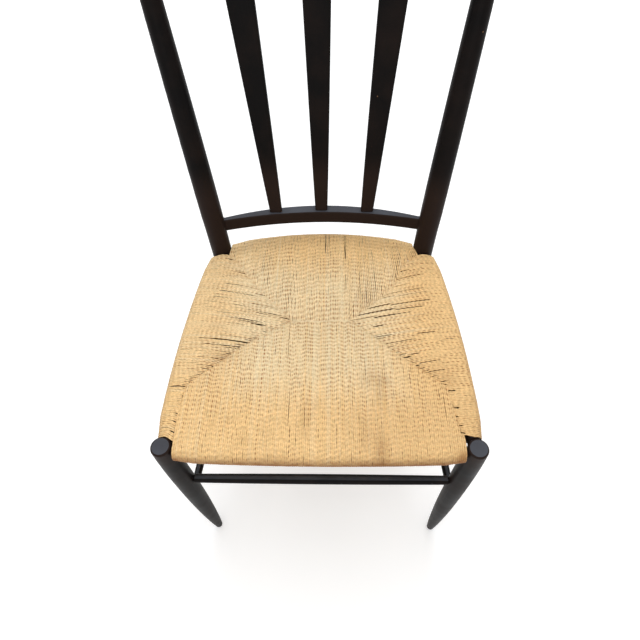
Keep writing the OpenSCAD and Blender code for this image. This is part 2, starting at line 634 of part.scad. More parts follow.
front_leg_left();
front_leg_right();
back_post_left();
back_post_right();
front_seat_rail();
rear_seat_rail();
left_seat_rail();
right_seat_rail();
front_stretcher();
left_stretcher();
right_stretcher();
rear_stretcher();
lower_back_rail();
crest_rail();
back_slat_left();
back_slat_centre();
back_slat_right();
front_weave();
rear_weave();
left_weave();
right_weave();
front_card();
rear_card();
left_card();
right_card();
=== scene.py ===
import math

import bpy
import numpy as np
from bpy.props import FloatProperty, FloatVectorProperty, PointerProperty
from mathutils import Matrix, Vector


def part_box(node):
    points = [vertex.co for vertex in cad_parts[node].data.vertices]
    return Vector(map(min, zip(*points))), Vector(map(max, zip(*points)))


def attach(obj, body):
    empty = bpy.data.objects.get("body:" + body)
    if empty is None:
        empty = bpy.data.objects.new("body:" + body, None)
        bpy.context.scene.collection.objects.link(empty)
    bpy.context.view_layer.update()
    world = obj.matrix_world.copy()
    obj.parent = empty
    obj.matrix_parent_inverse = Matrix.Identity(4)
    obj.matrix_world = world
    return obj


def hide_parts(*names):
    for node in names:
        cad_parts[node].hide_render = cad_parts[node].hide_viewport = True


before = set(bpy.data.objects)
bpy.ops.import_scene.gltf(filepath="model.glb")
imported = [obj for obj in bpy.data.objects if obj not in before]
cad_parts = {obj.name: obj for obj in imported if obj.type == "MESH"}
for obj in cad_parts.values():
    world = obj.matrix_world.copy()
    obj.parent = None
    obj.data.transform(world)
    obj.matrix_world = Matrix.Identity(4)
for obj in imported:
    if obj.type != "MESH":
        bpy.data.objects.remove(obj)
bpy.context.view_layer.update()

bl_info = {
    "name": "High-back chair with a woven cord seat",
    "version": (1, 0, 0),
    "blender": (4, 5, 0),
    "location": "View3D > Sidebar > Chair",
    "description": "Weaves the paper-cord seat and finishes the ebonised frame of a high-back chair",
    "category": "Object",
}

MM = 0.001
# Depth of the fibres and pores that the materials bump, in m
BUMP_DEPTH = 0.2 * MM

# The photo's camera: its place in m, its turns, its lens and sensor in mm, its picture in pixels
EYE = Vector((0.02224, -0.47752, 1.10306))
YAW, PITCH, ROLL = math.radians(-2.98), math.radians(56.05), math.radians(2.52)
LENS, SENSOR = 28.03, 36
PICTURE = 640

# The seat in plan, in mm, as the chair's source has it: X = 0 in the middle, Y = 0 at the tops of
# the front legs. The whole chair is moved forward by MID_Y.
MID_Y = 245.683
# Heights of the seat rails and of the top of the seat
rail_low, rail_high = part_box("front_seat_rail")
RAIL_Z = (rail_low.z + rail_high.z) / 2 / MM
SEAT_TOP = 452
# Radius of a seat rail in its middle and at its ends, and the length in which it tapers
RAIL_R, RAIL_END_R, RAIL_TAPER = 13.0, 10.0, 29.0
# Room between a rail and the cords round it
WEAVE_GAP = 0.25
# Where the axes of the front and rear rails end, and those of a side rail
LEG_IN, POST_IN = (215.167, -0.234), (176.545, 359.545)
SIDE_FORE, SIDE_AFT = (212.167, -0.234), (180.045, 359.545)
# Radius of a front leg and of a back post where the rails go in
LEG_SKIN, POST_SKIN = 14.57, 17.1
# How far the end of a rail turns away from the straight line between its ends
FRONT_BOW, REAR_BOW, SIDE_BOW = math.radians(2.2), math.radians(12.6), math.radians(4.3)

# Where the seams lie on the top of the seat, as pairs of X and Y in mm
FRONT_SEAM = [(-199.4, 58), (-196, 93), (-163, 122), (-122, 157), (-86, 183), (-45, 207),
              (45, 207), (77, 182), (113, 151), (148, 122), (184, 93), (188, 73), (191, 47),
              (194, 22), (199.4, 15)]
REAR_SEAM = [(-159.3, 344.4), (-154, 340), (-147, 330.6), (-110, 278), (-74, 239), (-45, 207),
             (45, 207), (87, 241), (122, 279), (138.8, 323), (154.6, 331.2), (163.2, 340.7)]
# The seams beside the front legs, as pairs of Y and of the distance from the middle in mm
LEFT_GUSSET = [(10, 199.8), (37, 200), (68, 199.4), (93, 196)]
RIGHT_GUSSET = [(10, 196), (22, 194), (47, 191), (73, 188), (93, 184)]
# Y on the rail where the stubs beside a front leg stop and the seams' cords start, and where these end
STUBS_END, RAIL_END = 93.0, 340.8
# The left and the right panel: where their cords start and end along the seams, where the seam with
# the front panel starts, and how far the first stub leans
SIDES = {
    -1: {"name": "left", "seed": 31, "gusset": LEFT_GUSSET, "start": 14.6, "end": 343.5,
         "turn_x": 196, "lean": -6},
    1: {"name": "right", "seed": 43, "gusset": RIGHT_GUSSET, "start": 17.0, "end": 340,
        "turn_x": 184, "lean": 4},
}

# Plies of a cord, and how far their turn shifts from its crown to its side, in radians
PLIES = 2
TILT = 0.9
# Angles of the points of a ring, from one side of a cord over its crown to the other
RING = np.radians(np.linspace(-90, 90, 7))
# Half the width of a free cord, of its radius, on top of the seat and below it
WIDE_TOP, WIDE_BELOW = 1.12, 1.6
# How far neighbours press into each other, in mm, so that no light comes through between them
LAP = 0.08
# Least half width of a cord, and the gap at which its edge is fully open, in mm
LEAST_HALF, OPEN_GAP = 0.5, 0.15
# How far a cord goes on under the seam, and how far before its end it starts to turn down, in mm
SEAM_LAP, TUCK_RUN = 1.7, 2.4
# How softly a cord bends from its rail towards its seam
BEND_EASE = 0.02
# Sideways sway of a cord: its size in mm, and the mm of cord to one radian of its wave
SWAYS = [(0.14, 9), (0.08, 3.7)]
# The share of a slit's width that each neighbour gives way, and over how many cords that fades
SLIT_PUSH, SLIT_REACH = 0.3, 2.2
# Where cords pile up before a back post, in mm, and how wide, and the room that they leave to it
SHOULDER_X, SHOULDER_Y, SHOULDER_R, POST_ROOM = 171, 341, 15, 1.7
# How far apart neighbours lie in the pattern of the paper's fibre, in mm
FIBRE_STEP = 13.7

# Old stains on top of the seat: pixel X and Y of the photo, radii in mm and strength
STAINS = [
    (368.6, 377.1, 12, 14, 0.29), (329.7, 368.8, 16, 8, 0.11), (315.8, 406.7, 6, 10, 0.18),
    (265.8, 432.3, 7, 16, 0.14), (305.4, 419.1, 9, 22, 0.25), (364.7, 434.4, 7, 22, 0.22),
    (379.1, 393.3, 8, 30, 0.22), (381.6, 449.2, 9, 22, 0.43), (384, 381, 9, 11, 0.32),
    (449, 380, 12, 14, 0.25), (464.8, 455, 8, 9, 0.5), (221, 355.6, 13, 9, 0.36),
    (211, 424.5, 6, 6, 0.18), (227.8, 421.2, 6, 6, 0.22), (243.4, 441, 8, 8, 0.22),
    (273.1, 457.1, 30, 7, 0.18), (365, 296, 14, 10, 0.22), (291.3, 318.2, 14, 5, 0.18),
    (438.5, 368.6, 22, 20, 0.14)]

# Slits between cords on top of the seat: pixel X and Y of both ends in the photo,
# and the width in mm
SLITS = {
    "front": [
     (384.5, 354, 384.2, 378, 0.9), (382.5, 358, 382.6, 382, 0.7), (410.5, 372.5, 410.5, 379.2, 1),
     (418.5, 378, 418.6, 386, 0.9), (402.5, 365, 402.5, 372, 0.7), (438.5, 391.5, 438.6, 398, 0.9),
     (444, 392, 444, 399.5, 1), (444, 399.5, 446.5, 415, 0.9), (446.5, 415, 447.6, 426, 0.9),
     (461, 434, 462.5, 446, 0.6), (379.5, 390, 379.8, 415, 0.5), (288.9, 327.1, 288.6, 357.7, 1.1),
     (285.8, 347.1, 285.8, 357.7, 0.9), (275.2, 328.3, 275.2, 357.1, 0.7),
     (263, 338.2, 262.7, 348.2, 0.9), (304.4, 338.2, 304.4, 356, 0.8),
     (308.6, 343.8, 308.6, 358.2, 0.7), (320.4, 322.7, 320.4, 343.8, 0.7),
     (336.3, 322.7, 336.3, 329.3, 0.7), (354.9, 328.2, 354.9, 352.7, 0.8),
     (365.2, 354.9, 365.6, 382.7, 0.7), (345.7, 341.6, 345.7, 371.6, 0.5),
     (368, 341.6, 368, 349.3, 0.7), (374.7, 344.9, 374.7, 352.7, 0.7),
     (292.4, 316, 292.4, 327.1, 0.6), (289.4, 390, 288.6, 412.2, 0.9),
     (288.6, 412.2, 288.6, 426.7, 1), (288.6, 427.8, 287.8, 456.7, 1.1),
     (295.2, 416.7, 295.2, 445.6, 0.8), (304.7, 400, 304.7, 428.9, 0.7),
     (318.9, 427.8, 318.6, 440, 0.9), (352.4, 401.1, 352.7, 428.9, 0.6),
     (358.6, 414.4, 358.6, 443.3, 0.6), (336.9, 423.3, 337.1, 452.2, 0.6),
     (285.8, 390, 285.8, 404.4, 0.7), (344.1, 415.6, 344.4, 426.7, 0.6)],
    "rear": [
     (325.3, 233.2, 325.4, 253.4, 2.3), (328.4, 234.8, 328.4, 256, 1.1), (269, 256, 268.2, 285, 0.7),
     (264.2, 251, 264.5, 274, 0.8), (261.5, 257, 262.5, 271, 0.5), (255.2, 260, 255.5, 276, 0.6),
     (282.5, 269, 282.5, 293.5, 0.6), (252.2, 270, 252.8, 276, 0.6), (277, 290, 277.6, 294.5, 0.8),
     (280.5, 293.5, 281, 297.2, 0.8), (286.5, 300, 286.8, 308, 0.7),
     (408.2, 256.5, 408.8, 261.5, 1.4), (405, 258, 405.8, 263, 1.1), (411.2, 256.5, 410.6, 261.5, 0.8),
     (403.6, 262.2, 404, 265, 0.7), (399.7, 261.5, 400.2, 271, 0.9), (396.6, 263, 397.6, 272, 1.2),
     (393.2, 260, 394.8, 276, 0.9), (391.8, 274, 392.4, 277.2, 1), (371.6, 252.5, 378, 293.5, 1),
     (379, 246, 379.4, 251.5, 0.9), (381, 285, 382, 291.5, 0.9), (359.5, 262, 359.6, 283.5, 0.7),
     (359.5, 284, 359.6, 293.5, 1.1), (365.5, 285, 368, 303, 0.8), (345, 274, 345.3, 293.5, 0.8),
     (344.5, 235, 344.8, 260, 2.2), (344.5, 247, 344.6, 256, 0.8), (351.5, 284, 351.8, 292, 0.7),
     (350, 300, 350.5, 315, 0.8), (353, 301, 353.2, 314, 0.8)],
    "left": [
     (225, 351, 236.5, 354.5, 1.3), (212, 355.2, 229, 359.5, 0.9), (220, 358, 227, 361.5, 0.8),
     (229.5, 357, 234, 358.2, 0.7), (212.5, 365, 219, 367.2, 1.3), (208.5, 368, 215, 370, 0.7),
     (207, 370, 213, 372, 0.8), (200.5, 371.5, 208, 374.8, 1.2), (196.5, 376, 204, 378.5, 0.9),
     (188, 380.5, 194.5, 382.5, 0.7), (205, 340, 242, 349, 1.1), (224, 344.2, 242, 349, 0.7),
     (200, 334.5, 248.9, 345, 1), (235, 341.5, 248.9, 345, 0.7), (214, 337, 251, 342, 0.8),
     (219, 335, 251, 337, 0.5), (238, 319, 254, 323, 1.2), (256, 323, 265, 325.5, 1.3),
     (227, 322.5, 245, 325.5, 0.5), (198, 356, 206, 357.2, 0.7), (170, 384.5, 186, 386.5, 1.4),
     (182.5, 395, 185.5, 395.2, 1.4), (180.5, 403.7, 183, 403.8, 1.1), (175.5, 412.2, 179, 412.4, 1.5),
     (172.5, 421.2, 176, 421.3, 1.2), (169.5, 430.5, 172.5, 430.7, 1.3), (227.9, 258.8, 234.5, 260, 1.4),
     (238, 271, 247, 272.5, 1.3), (234.5, 269, 242, 271, 0.7), (228, 275.5, 249, 276.7, 0.5),
     (225, 284, 266, 287, 0.9), (246, 285.5, 266.5, 287, 0.6), (220, 290.8, 254, 293.5, 1.1),
     (254, 293.5, 276, 294.7, 0.9), (250, 305, 281, 305.7, 0.8), (246, 310.5, 290, 314.7, 0.9),
     (255, 313, 286, 316.7, 0.7), (250, 322, 262, 324.5, 1.4), (228, 315, 262, 324.5, 0.9),
     (278, 316, 292, 319.2, 1), (212, 301.5, 246, 305, 0.6), (213, 296, 232, 298, 0.6),
     (216, 311, 238, 316, 0.6)],
    "right": [
     (385, 291.8, 423, 290, 0.8), (374, 298.5, 396, 296, 0.7), (396, 296, 430, 292.5, 0.6),
     (359, 308, 392, 305, 1.5), (392, 305, 430, 300.5, 1.2), (354.5, 313.5, 396, 309.5, 1.5),
     (396, 309.5, 424, 306, 1.1), (350, 316, 358.5, 316.2, 1), (348, 318.2, 378, 316.5, 0.9),
     (375, 316.5, 396, 313.5, 1.4), (396, 313.5, 412, 312, 0.9), (400.5, 271, 409, 268, 1.3),
     (392, 279, 422, 273.8, 0.8), (394, 276, 401, 277.2, 0.7), (393, 285, 410, 282.5, 0.7),
     (375, 325.5, 385, 324.2, 1.3), (375, 336.7, 393, 333, 1), (418, 334.5, 435, 330.8, 1.1),
     (379.5, 346.5, 388.1, 344.2, 1.2), (388.1, 344.2, 415, 337.5, 0.8), (384, 350.5, 388, 349.5, 1),
     (395.5, 358.5, 412, 354, 1.3), (412, 354, 420, 352.5, 0.9), (399, 361, 404, 360, 0.8),
     (407.5, 366.2, 420, 363.5, 1.2), (420, 363.5, 439, 358, 0.8), (427.1, 372, 445, 367, 0.8),
     (429, 379.2, 433, 378, 0.9), (430, 383, 434, 381.5, 1), (435, 384.8, 441.5, 383, 1.3),
     (439.5, 387.8, 444, 386.2, 1.1), (445, 392.2, 455, 388.2, 1.3), (447.8, 398.6, 451.2, 398, 1.4),
     (448.5, 398.8, 451.5, 398.4, 1.4), (448.5, 408, 458.2, 405.5, 1.7), (453, 416, 458.8, 414.5, 1.3),
     (455.8, 424.6, 462.8, 423.5, 1.3), (461.8, 433, 465.5, 432.5, 1.4), (445, 339, 454, 337, 0.8)],
}


def hex_to_linear(code):
    """Turns an sRGB hex colour into the linear one that Blender's nodes use."""
    parts = [int(code[i:i + 2], 16) / 255 for i in (1, 3, 5)]
    return [c / 12.92 if c <= 0.04045 else ((c + 0.055) / 1.055) ** 2.4 for c in parts]


def colour(name, description, code):
    return FloatVectorProperty(name=name, description=description, subtype="COLOR", size=3,
                               min=0, max=1, default=hex_to_linear(code))


def length(name, description, mm, low, high):
    return FloatProperty(name=name, description=description, unit="LENGTH", precision=5,
                         default=mm * MM, min=low * MM, max=high * MM)


def share(name, description, value):
    return FloatProperty(name=name, description=description, subtype="FACTOR",
                         default=value, min=0, max=1)


def power(name, description, watts):
    return FloatProperty(name=name, description=description, subtype="POWER", default=watts, min=0)


class ChairSeatCord(bpy.types.PropertyGroup):
    """Sizes and colours of the twisted paper cord and of how it is woven."""
    cord_d: length("Cord diameter", "Diameter of the twisted paper cord", 2.8, 2, 3.6)
    lay: length("Lay", "Length in which a ply goes once round the cord", 14.2, 8, 40)
    ply_depth: share("Ply depth", "Depth of the grooves between plies, of the cord's radius", 0.24)
    flank: share("Flank", "Height at which two cords touch, of the cord's radius", 0.45)
    crown: length("Crown", "How much a panel swells between its rail and its seam", 2.4, 0, 5)
    dip: length("Dip", "How far the top of the seat dips at the seams", 4, 0, 8)
    rise: length("Rise", "How far the underside rises towards the seams", 6, 0, 10)
    tuck: length("Tuck", "How deep a cord's end turns down into a seam", 0.7, 0, 6)
    shoulder: length("Shoulder", "How high the cords pile up in front of a back post", 4.5, 0, 8)
    top_step: length("Step on top", "Distance between the rings of a cord on top", 1.2, 1, 4)
    under_step: length("Step below", "Distance between the rings of a cord below", 2.4, 1, 6)
    pale: colour("Pale cord", "Cord in the middle of the seat", "#F1DCB1")
    tan: colour("Tan cord", "Cord on the rolls and near the sides", "#F0CA8E")
    # Painted shade: the colour that the valleys between plies and the gaps between cords are darkened
    # towards
    groove_shade: colour("Groove", "Paper deep between two plies or two cords", "#A4601C")
    # Also the colour of the painted shade on the lower front roll and on the lower sides of the seat
    stain: colour("Stain", "Old stains on the cord", "#925C20")


class ChairWood(bpy.types.PropertyGroup):
    """Colours and sheen of the ebonised wood, and the colour of the card."""
    black: colour("Black stain", "Ebonised wood", "#0D0B0B")
    brown: colour("Worn stain", "Where the stain has worn thin and the wood shows", "#2C211D")
    bare: colour("Bare wood", "Small nicks down to the wood", "#8A6A4C")
    rub: share("Rub", "How much of the stain is rubbed brown", 0.22)
    roughness: share("Roughness", "Roughness of the satin lacquer", 0.42)
    shine: share("Shine", "Strength of the lacquer's reflection", 0.055)
    # Painted reflection: a bluish grey that lightens faces that look up, as the light above would shine in
    # them, over some dust and hand prints
    dust_and_sheen: colour("Haze", "Dust and the prints of hands on faces that look up", "#565A62")
    dust_and_sheen_share: share("Haze share", "How much of such a face the haze covers", 0.6)
    grain: length("Grain", "Width of a pore streak", 0.9, 0.2, 4)
    # The card's own brown, made darker as painted shade, since it shows only in shadow through the slits
    card: colour("Card", "Dark brown card inside the seat", "#5E4327")


class ChairStage(bpy.types.PropertyGroup):
    """The floor and the lamps."""
    floor: colour("Floor", "Pale floor", "#F2F2F2")
    floor_lift: share("Floor lift", "Light that the camera adds to the floor", 0.32)
    world: share("Room light", "Strength of the light from all round", 0.5)
    top_power: power("Top lamp", "Power of the softbox overhead", 31)
    back_power: power("Back lamp", "Power of the softbox behind", 16)
    front_power: power("Front lamp", "Power of the softbox in front", 13)


# The photo's camera and the seat in plan

def camera_axes():
    """The way the camera looks, and the ways that are right and down in its picture."""
    ahead = Vector((math.sin(YAW) * math.cos(PITCH), math.cos(YAW) * math.cos(PITCH), -math.sin(PITCH)))
    level = Vector((math.cos(YAW), -math.sin(YAW), 0))
    below = ahead.cross(level)
    right = level * math.cos(ROLL) + below * math.sin(ROLL)
    down = below * math.cos(ROLL) - level * math.sin(ROLL)
    return ahead, right, down


def on_seat(pixel_x, pixel_y):
    """X and Y of the place on top of the seat that the photo shows at a pixel, in whole mm."""
    ahead, right, down = camera_axes()
    aside = right * (pixel_x - PICTURE / 2) + down * (pixel_y - PICTURE / 2)
    ray = ahead + aside / (LENS / SENSOR * PICTURE)
    place = EYE + ray * ((SEAT_TOP * MM - EYE.z) / ray.z)
    return round(place.x / MM), round(place.y / MM + MID_Y)


def bow_at(s, chord, straight, bow):
    """How far a rail's axis lies outside the straight line between its ends, s from the middle."""
    r = (chord / 2 - straight * math.cos(bow)) / math.sin(bow)
    s = np.abs(s)
    arc = straight * math.sin(bow) + np.sqrt(np.maximum(r * r - s * s, 0)) - r * math.cos(bow)
    return np.where(s > chord / 2 - straight * math.cos(bow), (chord / 2 - s) * math.tan(bow), arc)


SIDE_WAY = np.subtract(SIDE_AFT, SIDE_FORE)
SIDE_CHORD = float(np.hypot(*SIDE_WAY))
SIDE_TURN = math.atan2(SIDE_WAY[1], SIDE_WAY[0])
SIDE_MID = (np.array(SIDE_FORE) + SIDE_AFT) / 2


def front_axis(x):
    return LEG_IN[1] - bow_at(x, 2 * LEG_IN[0], LEG_SKIN + RAIL_TAPER, FRONT_BOW)


def rear_axis(x):
    return POST_IN[1] + bow_at(x, 2 * POST_IN[0], POST_SKIN + RAIL_TAPER, REAR_BOW)


def side_s(y):
    """How far from the middle of a side rail its axis passes a Y."""
    s = (y - SIDE_MID[1]) / math.sin(SIDE_TURN)
    bow = bow_at(s, SIDE_CHORD, POST_SKIN + RAIL_TAPER, SIDE_BOW)
    return s + bow * math.cos(SIDE_TURN) / math.sin(SIDE_TURN)


def side_axis(y):
    s = side_s(y)
    bow = bow_at(s, SIDE_CHORD, POST_SKIN + RAIL_TAPER, SIDE_BOW)
    return SIDE_MID[0] + s * math.cos(SIDE_TURN) + bow * math.sin(SIDE_TURN)


def rail_radius(s, chord, skin):
    """Radius of a rail at s from its middle: it tapers towards its leg."""
    free = chord / 2 - np.abs(s) - skin
    return RAIL_END_R + (RAIL_R - RAIL_END_R) * np.clip(free / RAIL_TAPER, 0, 1)


def along_line(value, pairs):
    xs, ys = zip(*pairs)
    return np.interp(value, xs, ys)


def smooth(t):
    """Goes softly from 0 to 1 as t does, and stays there beyond."""
    t = np.clip(t, 0, 1)
    return t * t * (3 - 2 * t)


def valley_at(turned):
    """How deep in the valley between two plies the turn of a cord's plies is, from 0 to 1."""
    return 0.5 - 0.5 * np.cos(turned)


def bend_share(u):
    """How much of its way over to its place at the seam a cord has gone at u, from 0 to 1."""
    ease = math.sqrt(BEND_EASE)
    return (np.sqrt(u * u + BEND_EASE) - ease) / (math.sqrt(1 + BEND_EASE) - ease)


# The woven panels

def drift(rng, cords, mm):
    """A smooth random field over a panel, which changes within some cords and some mm of cord."""
    waves = rng.uniform((-1.5 / cords, 0.5 / mm, 0), (1.5 / cords, 1.5 / mm, 1), (8, 3)) * 2 * math.pi
    return lambda k, s: 0.5 * sum(np.sin(a * k + b * s + c) for a, b, c in waves)


def slit_width(t, start, end, fade, width):
    """How wide a slit is at t: it opens and closes over the length fade."""
    return width * smooth((t - start) / fade) * smooth((end - t) / fade)


class Panel:
    """One panel of the seat: cords side by side that wrap one rail and end in the seams.

    A cord has a number k, a place on the rail and a place at the seam, both in mm along the rail,
    and a reach, the distance inwards from the rail's axis to the seam. t is 1 at the seam on top,
    0 on top of the rail, -1 below the rail and -2 at the seam below. u is 0 at the rail and 1 at
    the seam, q is the distance inwards from the rail's axis, and s is the length of cord from the
    top of the rail. hand is 1 for the front and the right panel and -1 for the other two.
    """

    def __init__(self, name, hand, on_rail, at_seam, reach, radius, seed):
        self.name, self.hand = name, hand
        self.on_rail, self.at_seam, self.reach, self.radius = on_rail, at_seam, reach, radius
        self.count = len(on_rail)
        self.index = np.arange(self.count)
        self.slits = []
        self.rng = np.random.default_rng(seed)
        self.phase = self.row_phase()
        self.gaps = self.rng.gamma(3.0, 1 / 3.0, self.count + 1)
        self.twist = drift(self.rng, 22, 90)
        self.rows = drift(self.rng, 3, 25)
        self.clefts = drift(self.rng, 2.5, 60)
        self.tone = self.rng.normal(0, 1, self.count)
        self.ends = self.rng.uniform(-0.6, 0.8, self.count)
        self.wobble = self.rng.uniform(0, 2 * math.pi, (self.count, 2))

    def row_phase(self):
        """Where the plies fall: neighbours follow each other in short zigzags."""
        low, high, jitter = self.slopes
        phase, slope, left = [0.0], low, 3
        for _ in range(self.count - 1):
            if left == 0:
                slope = -math.copysign(self.rng.uniform(low, high), slope)
                left = int(self.rng.integers(2, 4))
            left -= 1
            phase.append(phase[-1] + slope + self.rng.normal(0, jitter))
        return np.array(phase)

    def dip_share(self, k):
        """How much of the dip a cord keeps at its seam."""
        return 1.0

    def bridge(self, k, t):
        """1 where a cord lies in the pale bridge in the middle of the seat."""
        return np.zeros(len(t))

    def read(self, values, k):
        return np.interp(k, self.index, values)

    def shift(self, k, t, q):
        """How far the cords wander sideways, and how far slits push them, in mm."""
        moved = sum(size * np.sin(q / run + self.read(self.wobble[:, column], k))
                    for column, (size, run) in enumerate(SWAYS))
        for at, *slit in self.slits:
            away = np.exp(-(np.abs(k - at) - 0.5) / SLIT_REACH)
            moved = moved + slit_width(t, *slit) * SLIT_PUSH * np.sign(k - at) * away
        return moved

    def opened(self, gap, t):
        """How much narrower a cord is beside the slits of one gap, in mm."""
        widths = [slit_width(t, *slit) for at, *slit in self.slits if at == gap]
        return np.max([np.zeros(len(t))] + widths, axis=0)

    def line(self, k, t, cord):
        """Points of the middle of cord k at the values t, in mm."""
        on_rail, at_seam = self.read(self.on_rail, k), self.read(self.at_seam, k)
        reach = self.read(self.reach, k)
        wrap_r = self.read(self.radius, k) + WEAVE_GAP + cord["r"]
        # A panel that is shorter than four rolls swells and dips less
        small = np.minimum(1, reach / (4 * (wrap_r + cord["r"])))
        u = np.clip(np.where(t > 0, t, -1 - t), 0, 1.2)
        angle = np.clip(-t, 0, 1) * math.pi
        top, below = t > 0, t < -1
        q = np.where(top | below, reach * u, -wrap_r * np.sin(angle))
        dip = cord["dip"] * self.dip_share(k)
        z_top = wrap_r + small * (cord["crown"] * np.sin(math.pi * np.minimum(u, 1)) - dip * u * u)
        z_below = -wrap_r + small * cord["rise"] * self.dip_share(k) * u * u
        z = np.where(top, z_top, np.where(below, z_below, wrap_r * np.cos(angle)))
        dive = smooth(1 - (reach * (1 - u) + 0.6) / TUCK_RUN)
        z = z - np.where(top, cord["tuck"] * dive, 0) + np.where(below, cord["tuck"] * dive, 0)
        lateral = on_rail + np.where(top | below, (at_seam - on_rail) * bend_share(u), 0)
        lateral = lateral + self.shift(k, t, q)
        return self.place(on_rail, lateral, q, z)


class AcrossPanel(Panel):
    """The front or the rear panel, whose cords run along Y."""
    # By how much the turn of the plies differs between neighbours: least, most and spread
    slopes = (0.7, 1.2, 0.42)
    # The lay of its cords, of the usual lay
    lay_share = 1.0
    # How strong the painted shade in the pits between cords stays away from the top of the seat
    quiet = 0.3
    # How wide slits open, of the widths that were picked
    opening = 0.55
    # How much narrower a cord is where a valley comes to its side, of its radius
    notch = 0.08
    # How dark the painted shade in the valleys on a cord's crown is
    row_shade = 0.25
    # How closely the painted shade of the pits keeps to the places where the valleys of both neighbours
    # meet
    meeting = 2

    def place(self, on_rail, lateral, q, z):
        return np.stack([lateral, self.axis(on_rail) + self.hand * q, RAIL_Z + z], -1)

    def inwards(self, x, y):
        """How far inwards from the rail's axis a place lies, and where along the rail, in mm."""
        return self.hand * (y - self.axis(x)), x

    def axis(self, x):
        return front_axis(x) if self.hand > 0 else rear_axis(x)

    def side_way(self):
        """The way along the rail that turns the crowns of the cords outwards."""
        return (self.hand, 0.0, 0.0)

    def dip_share(self, k):
        level = smooth((np.abs(self.read(self.on_rail, k)) - 160) / 30)
        return 1 - 0.75 * level if self.name == "front" else 1.0

    def bridge(self, k, t):
        near = smooth((3.4 - np.abs(self.reach[k] * (1 - t))) / 2.0)
        return near * (abs(self.at_seam[k]) < 44) * (t > 0)


class SidePanel(Panel):
    """A side panel, whose cords run along X and lie less tight."""
    slopes = (0.4, 1.1, 1.1)
    lay_share = 1.05
    quiet = 0.8
    opening = 1.5
    notch = 0.14
    row_shade = 0.15
    meeting = 1.2

    def place(self, on_rail, lateral, q, z):
        return np.stack([self.hand * (side_axis(on_rail) - q), lateral, RAIL_Z + z], -1)

    def inwards(self, x, y):
        return side_axis(y) - abs(x), y

    def side_way(self):
        return (0.0, self.hand, 0.0)


def cord_numbers(seat):
    """The sizes of the cord in mm."""
    return {"r": seat.cord_d / MM / 2, "crown": seat.crown / MM, "dip": seat.dip / MM,
            "rise": seat.rise / MM, "tuck": seat.tuck / MM, "shoulder": seat.shoulder / MM}


def unit(v):
    return v / np.maximum(np.linalg.norm(v, axis=-1, keepdims=True), 1e-9)


def shoulder_lift(points, height, panel):
    """The cords pile up where they press against the front of a back post, and go round it."""
    x, y = np.abs(points[:, 0]), points[:, 1]
    lift = height * np.exp(-(np.hypot(x - SHOULDER_X, (y - SHOULDER_Y) * 0.8) / SHOULDER_R) ** 2)
    points[:, 2] += lift * (points[:, 2] > RAIL_Z)
    if isinstance(panel, SidePanel):
        clear = (POST_SKIN + POST_ROOM) ** 2 - (x - POST_IN[0]) ** 2
        points[:, 1] = np.minimum(y, POST_IN[1] - np.sqrt(np.maximum(clear, 0)))
    return points


def ring_places(panel, k, cord, seat):
    """The values t of the rings of one cord, closer on top and on the roll than below."""
    reach = panel.reach[k]
    wrap_r = panel.radius[k] + WEAVE_GAP + cord["r"]
    over = 1 + (SEAM_LAP + panel.ends[k]) / reach
    n_top = max(3, int(math.ceil(reach / (seat.top_step / MM))))
    n_roll = max(8, int(math.ceil(math.pi * wrap_r / (seat.top_step / MM))))
    n_below = max(3, int(math.ceil(reach / (seat.under_step / MM))))
    return np.concatenate([np.linspace(over, 0, n_top, endpoint=False),
                           np.linspace(0, -1, n_roll, endpoint=False),
                           np.linspace(-1, -1 - over, n_below)])


